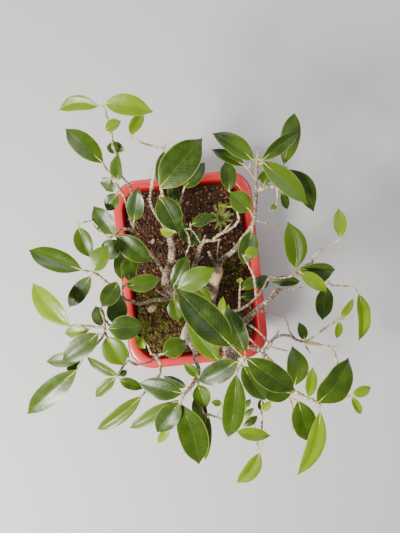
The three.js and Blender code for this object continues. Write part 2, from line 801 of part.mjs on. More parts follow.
// Closed solids from rows of points
function solidFrom(points, triangles) {
  const vertProperties = new Float32Array(points.flatMap((p) => [p.x, p.y, p.z]));
  const triVerts = new Uint32Array(triangles.flat());
  const solid = new wasm.Manifold(new wasm.Mesh({ numProp: 3, vertProperties, triVerts }));
  if (solid.volume() > 0) return solid;
  const turned = new Uint32Array(triangles.flatMap(([a, b, c]) => [a, c, b]));
  return new wasm.Manifold(new wasm.Mesh({ numProp: 3, vertProperties, triVerts: turned }));
}

// Rings of equal length joined one after the other, with flat ends. A last ring of one point makes a tip.
// turnedStrips holds the strips whose four-sided faces are split along their other diagonal.
function loft(rings, turnedStrips = []) {
  const count = rings[0].length;
  const points = rings.flat();
  const triangles = [];
  const tipped = rings.at(-1).length === 1;
  const last = rings.length - (tipped ? 2 : 1);
  for (let k = 0; k < last; k++) {
    for (let j = 0; j < count; j++) {
      const a = k * count + j;
      const b = k * count + ((j + 1) % count);
      const c = a + count;
      const d = b + count;
      if (turnedStrips.includes(j)) triangles.push([a, b, c], [b, d, c]);
      else triangles.push([a, b, d], [a, d, c]);
    }
  }
  for (let j = 1; j < count - 1; j++) triangles.push([0, j + 1, j]);
  const start = last * count;
  if (tipped) {
    for (let j = 0; j < count; j++) triangles.push([start + j, start + ((j + 1) % count), points.length - 1]);
  } else {
    for (let j = 1; j < count - 1; j++) triangles.push([start, start + j, start + j + 1]);
  }
  return solidFrom(points, triangles);
}

// A round stem through places with radii. grow makes it thicker all round, for the clearance round it.
function stem(places, sides, grow = 0) {
  const centres = places.map(place);
  const rings = [];
  let side = new THREE.Vector3(1, 0, 0);
  centres.forEach((centre, i) => {
    const before = centres[Math.max(i - 1, 0)];
    const after = centres[Math.min(i + 1, centres.length - 1)];
    const along = after.clone().sub(before).normalize();
    side = side.clone().addScaledVector(along, -side.dot(along)).normalize();
    const other = along.clone().cross(side);
    const radius = places[i][3] + grow;
    const ring = [];
    for (let j = 0; j < sides; j++) {
      const angle = (2 * Math.PI * j) / sides;
      ring.push(
        centre.clone()
          .addScaledVector(side, radius * Math.cos(angle))
          .addScaledVector(other, radius * Math.sin(angle)),
      );
    }
    rings.push(ring);
  });
  if (grow) {
    const first = centres[0].clone().sub(centres[1]).normalize();
    const end = centres.at(-1).clone().sub(centres.at(-2)).normalize();
    rings[0] = rings[0].map((p) => p.addScaledVector(first, grow));
    rings[rings.length - 1] = rings.at(-1).map((p) => p.addScaledVector(end, grow));
  }
  return loft(rings);
}

function nearestOnTwigs(point, twigs) {
  let best = null;
  for (const twig of twigs) {
    const centres = twig.map(place);
    for (let i = 0; i < centres.length - 1; i++) {
      const line = new THREE.Line3(centres[i], centres[i + 1]);
      const close = line.closestPointToPoint(point, true, new THREE.Vector3());
      if (!best || close.distanceTo(point) < best.distanceTo(point)) best = close;
    }
  }
  return best;
}

// One leaf: a petiole from the twig, then a blade folded along its midrib
function leaf([, basePlace, tipPlace, seenWidth, rollDegrees, foldDegrees, bow = 0], twigs) {
  const base = place(basePlace);
  const tip = place(tipPlace);
  const length = tip.distanceTo(base);
  const along = tip.clone().sub(base).normalize();
  const level = along.clone().cross(new THREE.Vector3(0, 0, 1)).normalize();
  const roll = THREE.MathUtils.degToRad(rollDegrees);
  const fold = THREE.MathUtils.degToRad(foldDegrees);
  const side = level.clone().applyAxisAngle(along, -roll);
  const up = side.clone().cross(along);
  const seenHalf = widthAt(seenWidth, (basePlace[2] + tipPlace[2]) / 2) / 2;
  const half = seenHalf / (Math.cos(roll) * Math.cos(fold));

  const section = (centre, sideways, upwards, halfWidth, lift, thickness, rib) => {
    const put = (s, u) => centre.clone().addScaledVector(sideways, s).addScaledVector(upwards, u);
    return [
      put(-halfWidth, lift + thickness / 2),
      put(0, thickness / 2),
      put(halfWidth, lift + thickness / 2),
      put(halfWidth, lift - thickness / 2),
      put(0, -thickness / 2 - rib),
      put(-halfWidth, lift - thickness / 2),
    ];
  };

  const root = nearestOnTwigs(base, twigs);
  const petiole = base.clone().sub(root);
  const rings = [];
  if (petiole.length() > SHORTEST_PETIOLE) {
    petiole.normalize();
    const rootSide = side.clone().addScaledVector(petiole, -side.dot(petiole)).normalize();
    const rootUp = rootSide.clone().cross(petiole);
    rings.push(section(root, rootSide, rootUp, PETIOLE_RADIUS, 0, PETIOLE_THICKNESS, 0));
  } else {
    const back = base.clone().addScaledVector(along, -BLADE_FOOT_SINK);
    rings.push(section(back, side, up, PETIOLE_RADIUS, 0, PETIOLE_THICKNESS, 0));
  }
  rings.push(section(base, side, up, BLADE_FOOT_HALF_WIDTH, 0, BLADE_FOOT_THICKNESS, 0));
  const stations = length < SMALL_LEAF ? BLADE_SMALL : length < LARGE_LEAF ? BLADE_MIDDLE : BLADE_LARGE;
  for (const [share, width] of stations) {
    const centre = base.clone().lerp(tip, share);
    centre.addScaledVector(up, BLADE_ARCH * length * Math.sin(Math.PI * share));
    centre.addScaledVector(side, bow * length * Math.sin(Math.PI * share));
    const sideways = half * width * Math.cos(fold);
    const lift = half * width * Math.sin(fold);
    rings.push(section(centre, side, up, sideways, lift, BLADE_THICKNESS, MIDRIB_DEPTH));
  }
  rings.push([tip]);
  return loft(rings, [0, 3]);
}

function fuse(solids) {
  return wasm.Manifold.union(solids).asOriginal().simplify(SLIVER);
}

function meshFrom(name, solid, colour, roughness) {
  const found = solid.getMesh();
  const geometry = new THREE.BufferGeometry();
  const positions = new Float32Array(found.numVert * 3);
  for (let i = 0; i < found.numVert; i++) {
    positions.set(found.vertProperties.subarray(i * found.numProp, i * found.numProp + 3), i * 3);
  }
  geometry.setAttribute("position", new THREE.BufferAttribute(positions, 3));
  geometry.setIndex(new THREE.BufferAttribute(new Uint32Array(found.triVerts), 1));
  geometry.computeVertexNormals();
  const material = new THREE.MeshStandardMaterial({ color: colour, roughness, metalness: 0 });
  const mesh = new THREE.Mesh(geometry, material);
  mesh.name = name;
  return mesh;
}

// A three.js shape as a solid
function solidOf(geometry) {
  const bare = geometry.clone();
  bare.deleteAttribute("normal");
  bare.deleteAttribute("uv");
  const merged = mergeVertices(bare, 1e-4);
  return new wasm.Manifold(
    new wasm.Mesh({
      numProp: 3,
      vertProperties: new Float32Array(merged.attributes.position.array),
      triVerts: new Uint32Array(merged.index.array),
    }),
  );
}

// A level ring round the pot, this far inside the lip's outer edge
function potRing(inset, height) {
  const radius = Math.max(CORNER_RADIUS - inset * CORNER_TAPER, SHARPEST_CORNER);
  const halfWidth = POT_WIDTH / 2 - inset - radius;
  const halfLength = POT_LENGTH / 2 - inset - radius;
  const ring = [];
  [[1, 1], [-1, 1], [-1, -1], [1, -1]].forEach(([sx, sy], corner) => {
    for (let step = 0; step <= CORNER_STEPS; step++) {
      const angle = ((corner + step / CORNER_STEPS) * Math.PI) / 2;
      ring.push(
        new THREE.Vector3(
          sx * halfWidth + radius * Math.cos(angle),
          sy * halfLength + radius * Math.sin(angle),
          height,
        ),
      );
    }
  });
  return ring;
}

// The pot's outside and inside, from the underside over the lip to the floor: [inset, height]
const POT_PROFILE = [
  [29, UNDERSIDE],
  [28, 0],
  [22, 0],
  [21.2, 3.5],
  [18, 6.5],
  [15.5, 20],
  [8.4, 61],
  [6.4, 62.6],
  [1.4, 63.2],
  [0, 65.5],
  [0, 70.5],
  [1.2, 73.6],
  [4, POT_HEIGHT],
  [10.5, POT_HEIGHT],
  [12.4, 73.4],
  [13, 68],
  [21, 16],
  [25, 10],
  [28, FLOOR_TOP],
];

function makePot() {
  let pot = loft(POT_PROFILE.map(([inset, height]) => potRing(inset, height)));
  for (const y of [-DRAIN_OFFSET, DRAIN_OFFSET]) {
    const hole = new THREE.CylinderGeometry(DRAIN_RADIUS, DRAIN_RADIUS, 3 * FLOOR_TOP, DRAIN_SIDES);
    pot = pot.subtract(solidOf(hole.rotateX(Math.PI / 2).translate(0, y, 0)));
  }
  for (const size of [
    [POT_WIDTH, FOOT_NOTCH_WIDTH],
    [FOOT_NOTCH_WIDTH, POT_LENGTH],
  ]) {
    const notch = new THREE.BoxGeometry(size[0], size[1], 2 * UNDERSIDE);
    pot = pot.subtract(solidOf(notch));
  }
  return pot;
}

// The soil's underside and wall, then the rings of its uneven top, which rises round the trunk's foot
const SOIL_PROFILE = [
  [25.6, SOIL_BOTTOM],
  [21.6, 16],
  [14.4, 61.5],
  [15.4, SOIL_EDGE],
];
const SOIL_TOP_INSETS = [24, 34, 44, 54, 66, 78];

function makeSoil(clearances) {
  const draw = makeDraw(SOIL_SEED);
  const rings = SOIL_PROFILE.map(([inset, height]) => potRing(inset, height));
  const foot = place(LIMBS.leader[1]);
  const raised = (point) => {
    const away = point.clone().setZ(foot.z).distanceToSquared(foot);
    const mound = MOUND_HEIGHT * Math.exp(-away / MOUND_SPREAD);
    return point.setZ(SOIL_CROWN + mound + SOIL_GRAIN * (draw() - 0.5));
  };
  for (const inset of SOIL_TOP_INSETS) rings.push(potRing(inset, SOIL_EDGE).map(raised));
  let soil = loft(rings);
  for (const clearance of clearances) soil = soil.subtract(clearance);
  return soil;
}

function makePebble(at, size, turn, grow = 0) {
  const stone = new THREE.IcosahedronGeometry(1, 1);
  stone.scale(size[0] + grow, size[1] + grow, size[2] + grow);
  stone.rotateZ(turn);
  const centre = place(at);
  return solidOf(stone.translate(centre.x, centre.y, centre.z));
}

function makeSeedling(grow = 0) {
  const [across, down, height] = SEEDLING_FOOT;
  const foot = [across, down, height - SEEDLING_ROOT.depth, SEEDLING_ROOT.radius];
  const neck = [across, down, height + SEEDLING_NECK.rise, SEEDLING_NECK.radius];
  const start = [across, down, height + FROND_RISE];
  const pieces = [stem([foot, neck], SEEDLING_SIDES, grow)];
  if (!grow) {
    for (const end of SEEDLING_FRONDS) {
      pieces.push(leaf(["young", start, end, FROND_WIDTH, 0, FROND_FOLD], [[foot, neck]]));
    }
  }
  return fuse(pieces);
}

function limbSides(places) {
  const radius = places[0][3];
  if (radius > THICK_LIMB) return THICK_SIDES;
  return radius > MIDDLE_LIMB ? MIDDLE_SIDES : THIN_SIDES;
}

function makeTrunk(grow = 0) {
  return fuse(Object.values(LIMBS).map((places) => stem(places, limbSides(places), grow)));
}

// Cutting the clearance round the limbs may leave crumbs, which are dropped
function makeSpray(name, { twigs, leaves }, trunkClearance) {
  const pieces = [...twigs.map((twig) => stem(twig, THIN_SIDES)), ...leaves.map((row) => leaf(row, twigs))];
  const bodies = fuse([fuse(pieces).subtract(trunkClearance)]).decompose();
  bodies.sort((a, b) => b.volume() - a.volume());
  if (bodies[1]?.volume() > CRUMB) throw new Error(`${name} is in ${bodies.length} bodies`);
  return bodies[0];
}

const trunkClearance = makeTrunk(CLEAR);
const PEBBLES = {
  pebble_big: [[152.5, 308.5, -9], [7.5, 5.5, 4.2], 0.5],
  pebble_small: [[153, 241, -9.5], [3.8, 2.8, 2.4], 0.9],
};

const bonsai = new THREE.Group();
bonsai.add(meshFrom("pot", makePot(), COLOURS.glaze, ROUGH.glaze));
for (const [name, y] of [
  ["drain_mesh_near", -DRAIN_OFFSET],
  ["drain_mesh_far", DRAIN_OFFSET],
]) {
  const plate = new THREE.BoxGeometry(MESH_SIDE, MESH_SIDE, MESH_THICKNESS);
  const solid = solidOf(plate.translate(0, y, FLOOR_TOP + CLEAR + MESH_THICKNESS / 2));
  bonsai.add(meshFrom(name, solid, COLOURS.mesh, ROUGH.mesh));
}
const soilClearances = [
  trunkClearance,
  makeSeedling(CLEAR),
  ...Object.values(PEBBLES).map(([at, size, turn]) => makePebble(at, size, turn, CLEAR)),
];
bonsai.add(meshFrom("soil", makeSoil(soilClearances), COLOURS.soil, ROUGH.soil));
for (const [name, [at, size, turn]] of Object.entries(PEBBLES)) {
  bonsai.add(meshFrom(name, makePebble(at, size, turn), COLOURS.stone, ROUGH.stone));
}
bonsai.add(meshFrom("seedling", makeSeedling(), COLOURS.young, ROUGH.seedling));
bonsai.add(meshFrom("trunk", makeTrunk(), COLOURS.bark, ROUGH.bark));
for (const [name, spray] of Object.entries(SPRAYS)) {
  const colour = COLOURS[spray.leaves[0][0]];
  bonsai.add(meshFrom(name, makeSpray(name, spray, trunkClearance), colour, ROUGH.leaf));
}

export default bonsai;
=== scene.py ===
import math
import random

import bpy
import numpy as np
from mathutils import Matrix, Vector, noise


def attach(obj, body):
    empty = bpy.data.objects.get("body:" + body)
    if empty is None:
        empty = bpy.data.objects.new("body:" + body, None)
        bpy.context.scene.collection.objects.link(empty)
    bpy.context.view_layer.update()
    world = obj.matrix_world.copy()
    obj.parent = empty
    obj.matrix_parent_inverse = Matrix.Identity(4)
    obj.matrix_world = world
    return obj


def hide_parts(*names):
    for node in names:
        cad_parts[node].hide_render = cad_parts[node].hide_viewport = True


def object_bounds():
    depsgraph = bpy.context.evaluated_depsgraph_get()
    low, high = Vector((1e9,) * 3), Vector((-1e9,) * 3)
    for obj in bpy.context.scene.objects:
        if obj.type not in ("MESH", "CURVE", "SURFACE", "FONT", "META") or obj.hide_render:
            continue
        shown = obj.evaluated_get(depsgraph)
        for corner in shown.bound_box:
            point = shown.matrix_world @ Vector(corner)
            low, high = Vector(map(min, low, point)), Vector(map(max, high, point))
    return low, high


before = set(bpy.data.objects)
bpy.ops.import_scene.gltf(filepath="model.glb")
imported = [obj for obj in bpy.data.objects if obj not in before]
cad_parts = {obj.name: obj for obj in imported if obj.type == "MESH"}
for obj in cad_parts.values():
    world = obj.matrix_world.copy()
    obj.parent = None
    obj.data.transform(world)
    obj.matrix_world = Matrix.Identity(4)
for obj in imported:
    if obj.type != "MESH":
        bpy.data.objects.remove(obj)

cad_box = [[float(v) for v in corner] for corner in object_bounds()]


# The pot: one piece of stoneware under a red glaze, with a rolled lip, two drain holes and four low feet.
# A rounded rectangle is drawn up the outside of the wall, over the lip and down the inside to the floor, then
# the drain holes and the gaps between the feet are cut.
MM = 0.001
POT_HALF_WIDTH = 92.5 * MM
POT_HALF_LENGTH = 125 * MM
LIP_HEIGHT = 75 * MM
CORNER_RADIUS = 33 * MM
CORNER_STEPS = 12
UNDERSIDE = 2.5 * MM
UNDERSIDE_INSET = 29 * MM
FLOOR_TOP = 8.5 * MM
DRAIN_OFFSET = 55 * MM
DRAIN_RADIUS = 8 * MM
FOOT_GAP = 14 * MM
# How far in from the lip's outer edge, and how high above the table, in millimetres
POT_PROFILE = [
    (28.2, 0.4), (27.6, 0), (22.4, 0), (21.6, 0.6), (21.2, 3.2), (18.6, 5.8), (16.8, 11), (15.5, 20),
    (12.0, 40.5), (8.4, 61), (7.4, 62.3), (4.2, 62.6), (1.8, 63.1), (0.5, 64.2), (0, 65.8), (0, 69.8),
    (0.4, 71.6), (1.3, 73.3), (2.7, 74.5), (4.6, 75), (9.4, 75), (11.0, 74.6), (12.1, 73.6), (12.6, 72.2),
    (13, 68), (17, 42), (21, 16), (22.6, 11.6), (25, 9.4), (28, 8.5),
]
# The third colour is the pale pink of a painted highlight on the top of the lip.
GLAZE_RED, GLAZE_BRIGHT, GLAZE_LIP_HIGHLIGHT = (0.54, 0.010, 0.017), (0.68, 0.022, 0.030), (0.80, 0.062, 0.066)
GLAZE_SPECKLE, SOIL_SPLASH, BARE_CLAY = (0.30, 0.012, 0.012), (0.16, 0.07, 0.04), (0.24, 0.10, 0.055)


def pick_nothing():
    if bpy.context.object and bpy.context.object.mode != "OBJECT":
        bpy.ops.object.mode_set(mode="OBJECT")
    bpy.ops.object.select_all(action="DESELECT")


def pick(piece):
    pick_nothing()
    piece.select_set(True)
    bpy.context.view_layer.objects.active = piece


def settle(piece):
    """Moves the piece's place into its mesh"""
    pick(piece)
    bpy.ops.object.transform_apply(location=True, rotation=True, scale=True)


def modified(piece, kind, **settings):
    """Gives the piece a modifier and applies it"""
    modifier = piece.modifiers.new(kind, kind)
    for key, value in settings.items():
        setattr(modifier, key, value)
    pick(piece)
    bpy.ops.object.modifier_apply(modifier=modifier.name)


def edit_all():
    bpy.ops.object.mode_set(mode="EDIT")
    bpy.ops.mesh.select_all(action="SELECT")


def belongs(piece, slot, *nodes):
    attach(piece, "root")
    if nodes:
        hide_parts(*nodes)


def cut(piece, cutter):
    settle(cutter)
    modified(piece, "BOOLEAN", operation="DIFFERENCE", solver="EXACT", object=cutter)
    bpy.data.objects.remove(cutter)


class Value:
    """A shader socket that can be used in sums"""

    def __init__(self, finish, socket):
        self.finish = finish
        self.socket = socket

    def sum(self, operation, first, second=0.0):
        return self.finish.node("ShaderNodeMath", {"operation": operation}, {0: first, 1: second})

    def __add__(self, other):
        return self.sum("ADD", self, other)

    def __sub__(self, other):
        return self.sum("SUBTRACT", self, other)

    def __mul__(self, other):
        return self.sum("MULTIPLY", self, other)

    def __pow__(self, other):
        return self.sum("POWER", self, other)

    def __rsub__(self, other):
        return self.sum("SUBTRACT", other, self)

    def __abs__(self):
        return self.sum("ABSOLUTE", self)

    __radd__ = __add__
    __rmul__ = __mul__

    def wave(self):
        return self.sum("SINE", self * (2 * math.pi)) * 0.5 + 0.5

    def between(self, low, high):
        """0 up to low, 1 from high, and a soft step in the middle"""
        settings = {"interpolation_type": "SMOOTHSTEP"}
        return self.finish.node("ShaderNodeMapRange", settings, {0: self, 1: low, 2: high, 3: 0.0, 4: 1.0})


class Finish:
    """A material that is built up from nodes"""

    def __init__(self, name):
        self.material = bpy.data.materials.new(name)
        self.material.use_nodes = True
        self.nodes = self.material.node_tree.nodes
        self.links = self.material.node_tree.links
        self.shader = self.nodes["Principled BSDF"]

    def feed(self, socket, value):
        if isinstance(value, Value):
            self.links.new(value.socket, socket)
        elif isinstance(value, tuple) and socket.type == "RGBA":
            socket.default_value = (*value, 1)
        else:
            socket.default_value = value

    def node(self, kind, settings, inputs, output=0):
        made = self.nodes.new(kind)
        for key, value in settings.items():
            if key == "stops":
                ramp = made.color_ramp.elements
                while len(ramp) < len(value):
                    ramp.new(1)
                for stop, (position, colour) in zip(ramp, value):
                    stop.position = position
                    stop.color = (*colour, 1)
            else:
                setattr(made, key, value)
        for key, value in inputs.items():
            self.feed(made.inputs[key], value)
        return Value(self, made.outputs[output])

    def place(self):
        return self.node("ShaderNodeTexCoord", {}, {}, "Object")

    def split(self, vector):
        return [self.node("ShaderNodeSeparateXYZ", {}, {0: vector}, axis) for axis in "XYZ"]

    def clouds(self, vector, scale, detail=4.0, roughness=0.55):
        inputs = {"Vector": vector, "Scale": scale, "Detail": detail, "Roughness": roughness}
        return self.node("ShaderNodeTexNoise", {}, inputs)

    def cells(self, vector, scale, feature="F1"):
        return self.node("ShaderNodeTexVoronoi", {"feature": feature}, {"Vector": vector, "Scale": scale})

    def ramp(self, value, *stops):
        return self.node("ShaderNodeValToRGB", {"stops": stops}, {0: value})

    def mix(self, mask, first, second):
        return self.node("ShaderNodeMix", {"data_type": "RGBA"}, {0: mask, 6: first, 7: second}, 2)

    def shade(self, colour, value):
        """The colour, darker or lighter by a grey value"""
        settings = {"data_type": "RGBA", "blend_type": "MULTIPLY"}
        grey = self.node("ShaderNodeCombineColor", {}, {0: value, 1: value, 2: value})
        return self.node("ShaderNodeMix", settings, {0: 1.0, 6: colour, 7: grey}, 2)

    def attribute(self, name):
        return self.node("ShaderNodeAttribute", {"attribute_name": name}, {}, "Fac")

    def relief(self, height, strength, distance):
        return self.node("ShaderNodeBump", {}, {"Strength": strength, "Distance": distance, "Height": height})

    def surface(self, **sockets):
        for name, value in sockets.items():
            self.feed(self.shader.inputs[name.replace("_", " ")], value)
        return self.material


pick_nothing()
bpy.ops.mesh.primitive_plane_add(size=2, location=(0, 0, 0))
pot = bpy.context.object
pot.name = "pot_glazed"
edit_all()
bpy.ops.mesh.select_mode(type="FACE")
bpy.ops.transform.resize(value=(POT_HALF_WIDTH, POT_HALF_LENGTH, 1))
bpy.ops.mesh.bevel(offset=CORNER_RADIUS, segments=CORNER_STEPS, affect="VERTICES")
shrink = (1 - UNDERSIDE_INSET / POT_HALF_WIDTH, 1 - UNDERSIDE_INSET / POT_HALF_LENGTH, 1)
bpy.ops.transform.resize(value=shrink, center_override=(0, 0, 0))
bpy.ops.transform.translate(value=(0, 0, UNDERSIDE))
reach = (POT_HALF_WIDTH - UNDERSIDE_INSET, POT_HALF_LENGTH - UNDERSIDE_INSET, UNDERSIDE)
for inset, height in POT_PROFILE:
    target = (POT_HALF_WIDTH - inset * MM, POT_HALF_LENGTH - inset * MM, height * MM)
    step = (0, 0, target[2] - reach[2])
    bpy.ops.mesh.extrude_region_move(TRANSFORM_OT_translate={"value": step})
    growth = (target[0] / reach[0], target[1] / reach[1], 1)
    bpy.ops.transform.resize(value=growth, center_override=(0, 0, 0))
    reach = target
bpy.ops.mesh.select_all(action="SELECT")
bpy.ops.mesh.normals_make_consistent(inside=False)
bpy.ops.object.mode_set(mode="OBJECT")
for y in (-DRAIN_OFFSET, DRAIN_OFFSET):
    pick_nothing()
    bpy.ops.mesh.primitive_cylinder_add(
        vertices=40, radius=DRAIN_RADIUS, depth=4 * FLOOR_TOP, location=(0, y, 0))
    cut(pot, bpy.context.object)
for size in ((4 * POT_HALF_WIDTH, FOOT_GAP, 2 * UNDERSIDE), (FOOT_GAP, 4 * POT_HALF_LENGTH, 2 * UNDERSIDE)):
    pick_nothing()
    bpy.ops.mesh.primitive_cube_add(size=1, scale=size)
    cut(pot, bpy.context.object)
pick(pot)
bpy.ops.object.shade_smooth_by_angle(angle=math.radians(32))

glaze = Finish("red_glaze")
where = glaze.place()
z = glaze.split(where)[2]
flow = glaze.clouds(where, 26.0, 5.0)
speckle = glaze.clouds(where, 520.0, 2.0).between(0.66, 0.74)
# The flat top of the lip is painted a lighter pink: a painted highlight.
lip = z.between(0.0725, 0.0752)
splash = glaze.clouds(where, 90.0, 6.0, 0.7).between(0.52, 0.68) * z.between(0.052, 0.07)
bare = 1 - (z + glaze.clouds(where, 120.0, 3.0) * 0.0012).between(0.0030, 0.0040)
colour = glaze.mix(flow.between(0.3, 0.7), GLAZE_RED, GLAZE_BRIGHT)
colour = glaze.mix(lip * 0.4, colour, GLAZE_LIP_HIGHLIGHT)
colour = glaze.mix(speckle * 0.35, colour, GLAZE_SPECKLE)
colour = glaze.mix(splash * 0.22, colour, SOIL_SPLASH)
orange_peel = glaze.clouds(where, 210.0, 2.0) + glaze.clouds(where, 38.0, 2.0) * 1.6
pot.data.materials.append(glaze.surface(
    Base_Color=glaze.mix(bare, colour, BARE_CLAY),
    Roughness=0.27 + flow * 0.12 + splash * 0.2 + bare * 0.4,
    Coat_Weight=0.35,
    Coat_Roughness=0.12,
    Normal=glaze.relief(orange_peel, 0.22, 0.0006),
))
belongs(pot, "glaze", "pot")


# The two pieces of plastic mesh that keep the soil in over the drain holes.
# Each is a grid of thin bars, made from a plate's edges.
MESH_SIZE = 33 * MM
MESH_CELLS = 13
MESH_BAR = 0.9 * MM
MESH_HEIGHT = 9.3 * MM
for name, y in (("drain_mesh_near", -DRAIN_OFFSET), ("drain_mesh_far", DRAIN_OFFSET)):
    pick_nothing()
    bpy.ops.mesh.primitive_grid_add(
        x_subdivisions=MESH_CELLS, y_subdivisions=MESH_CELLS, size=MESH_SIZE, location=(0, y, MESH_HEIGHT))
    screen = bpy.context.object
    screen.name = name + "_screen"
    settle(screen)
    modified(screen, "WIREFRAME", thickness=MESH_BAR, use_replace=True)
    plastic = Finish(name + "_plastic")
    grime = plastic.clouds(plastic.place(), 300.0)
    screen.data.materials.append(plastic.surface(
        Base_Color=plastic.mix(grime.between(0.4, 0.7), (0.012, 0.014, 0.013), (0.06, 0.045, 0.03)),
        Roughness=0.45 + grime * 0.3,
    ))
    belongs(screen, "mesh", name)


# The soil: baked clay granules and bark, heaped a little towards the tree.
# A sheet is fitted to the pot's round corners, raised by its lumps and grains and closed down to the floor.
# Places are given on a grid that lies on the pot's rim, as an eye straight above sees it.
EYE_ABOVE_RIM = 524
GRID_STEP = 1.309
EYE_FOOT = (200, 266.5)
POT_FOOT = (190, 269.5)
POT_TURN = math.radians(6.3)
SOIL_TOP = 63.6 * MM
SOIL_INSET = 15.0 * MM
SOIL_CORNER = 26 * MM
SOIL_BOTTOM = 10.6 * MM
SOIL_BOTTOM_SHRINK = (0.862, 0.904, 1)
MOUND_HEIGHT = 5 * MM
MOUND_SPREAD = 0.0022
# Each relief's height, how fine it is, and the layer of the noise it is cut from
LUMPS = (1.6 * MM, 55, 3.1)
GRAINS = (0.8 * MM, 330, 0.7)
FINE_GRAINS = (0.4 * MM, 800, 5.2)
# The first colour is near-black painted shade for the pits in the soil; the two browns are the soil's own.
PIT_SHADE_BLACK, WET_BROWN, DRY_BROWN = (0.006, 0.003, 0.001), (0.050, 0.021, 0.008), (0.080, 0.036, 0.014)


def place(across, down, height):
    """A place from where the eye sees it on the grid, and its height above the rim in millimetres"""
    scale = GRID_STEP * (EYE_ABOVE_RIM - height) / EYE_ABOVE_RIM
    x = (across - EYE_FOOT[0]) * scale + (EYE_FOOT[0] - POT_FOOT[0]) * GRID_STEP
    y = (EYE_FOOT[1] - down) * scale + (POT_FOOT[1] - EYE_FOOT[1]) * GRID_STEP
    cos, sin = math.cos(POT_TURN), math.sin(POT_TURN)
    return Vector(((x * cos + y * sin) * MM, (y * cos - x * sin) * MM, height * MM + LIP_HEIGHT))


tree_foot = place(203, 311, -14)


def rough(x, y, height, fineness, layer):
    return height * noise.noise(Vector((x * fineness, y * fineness, layer)))


def soil_height(x, y):
    away = (x - tree_foot.x) ** 2 + (y - tree_foot.y) ** 2
    return SOIL_TOP + MOUND_HEIGHT * math.exp(-away / MOUND_SPREAD) + rough(x, y, *LUMPS)


def in_pot(across, along, margin=0.0):
    """A point of a square from -1 to 1, moved into the pot's rounded rectangle"""
    half = Vector((POT_HALF_WIDTH - SOIL_INSET - margin, POT_HALF_LENGTH - SOIL_INSET - margin))
    point = Vector((across * half.x, along * half.y))
    over = Vector((abs(point.x) - half.x + SOIL_CORNER, abs(point.y) - half.y + SOIL_CORNER))
    if over.x > 0 and over.y > 0:
        rounded = over * (max(over) / over.length)
        point.x = math.copysign(half.x - SOIL_CORNER + rounded.x, point.x)
        point.y = math.copysign(half.y - SOIL_CORNER + rounded.y, point.y)
    return point


pick_nothing()
bpy.ops.mesh.primitive_grid_add(x_subdivisions=100, y_subdivisions=135, size=2)
soil = bpy.context.object
soil.name = "soil_bed"
for vertex in soil.data.vertices:
    x, y = in_pot(vertex.co.x, vertex.co.y)
    vertex.co = (x, y, soil_height(x, y) + rough(x, y, *GRAINS) + rough(x, y, *FINE_GRAINS))
bpy.ops.object.mode_set(mode="EDIT")
bpy.ops.mesh.select_mode(type="EDGE")
bpy.ops.mesh.select_all(action="DESELECT")
bpy.ops.mesh.select_non_manifold(extend=False, use_boundary=True)
bpy.ops.mesh.extrude_region_move(TRANSFORM_OT_translate={"value": (0, 0, -LIP_HEIGHT)})
bpy.ops.transform.resize(value=(1, 1, 0), center_override=(0, 0, SOIL_BOTTOM))
bpy.ops.transform.resize(value=SOIL_BOTTOM_SHRINK, center_override=(0, 0, SOIL_BOTTOM))
bpy.ops.mesh.edge_face_add()
bpy.ops.mesh.select_all(action="SELECT")
bpy.ops.mesh.normals_make_consistent(inside=False)
bpy.ops.object.mode_set(mode="OBJECT")
bpy.ops.object.shade_smooth_by_angle(angle=math.radians(60))

earth = Finish("potting_soil")
where = earth.place()
crumbs = earth.cells(where, 420.0)
damp = earth.clouds(where, 32.0, 5.0)
# Painted shade: the centre of each pit in the crumb relief is near-black.
colour = earth.mix(crumbs.between(0.1, 0.6), PIT_SHADE_BLACK, WET_BROWN)
soil.data.materials.append(earth.surface(
    Base_Color=earth.mix(damp.between(0.42, 0.7) * 0.6, colour, DRY_BROWN),
    Roughness=0.95,
    Normal=earth.relief(crumbs, 0.7, 0.0012),
))
belongs(soil, "soil", "soil")


# The loose granules on the soil: fired clay and bark crumbs, about one and a half to six millimetres across.
# One rough crumb is modelled, and copies of it lie about, each turned, sized and toned by a repeatable draw.
GRANULES = 5600
GRANULE_MARGIN = 2.2 * MM
GRANULE_RADII = (0.9, 1.2, 1.5, 1.9, 2.4)
CRUMB_ROUGHNESS = 0.28
GRANULE_TONES = [
    (0.0, (0.006, 0.002, 0.001)), (0.25, (0.030, 0.010, 0.003)), (0.55, (0.105, 0.034, 0.009)),
    (0.80, (0.190, 0.074, 0.024)), (0.95, (0.30, 0.15, 0.065)), (1.0, (0.44, 0.30, 0.18)),
]


def shape_of(piece):
    """The piece's points, and its faces as rows of point numbers. The piece itself goes."""
    points = np.array([vertex.co for vertex in piece.data.vertices])
    faces = np.array([list(face.vertices) for face in piece.data.polygons])
    bpy.data.objects.remove(piece)
    return points, faces


def linked(name, data):
    piece = bpy.data.objects.new(name, data)
    bpy.context.collection.objects.link(piece)
    return piece


def keep_values(mesh, name, values):
    """One number for each point, which a material can read"""
    mesh.attributes.new(name, "FLOAT", "POINT").data.foreach_set("value", values.astype(np.float32))


def scattered(name, points, faces, copies, tones):
    """One mesh of many copies of a small shape. A copy is a place and a 3 by 3 turn with its size in it."""
    count = len(points)
    places = np.array([at for at, turn in copies])
    turns = np.array([turn for at, turn in copies])
    all_points = (np.einsum("kij,nj->kni", turns, points) + places[:, None]).reshape(-1, 3)
    all_faces = (faces[None] + (np.arange(len(copies)) * count)[:, None, None]).reshape(-1, faces.shape[1])
    mesh = bpy.data.meshes.new(name)
    mesh.from_pydata(all_points.tolist(), [], all_faces.tolist())
    keep_values(mesh, "tone", np.repeat(tones, count))
    return linked(name, mesh)


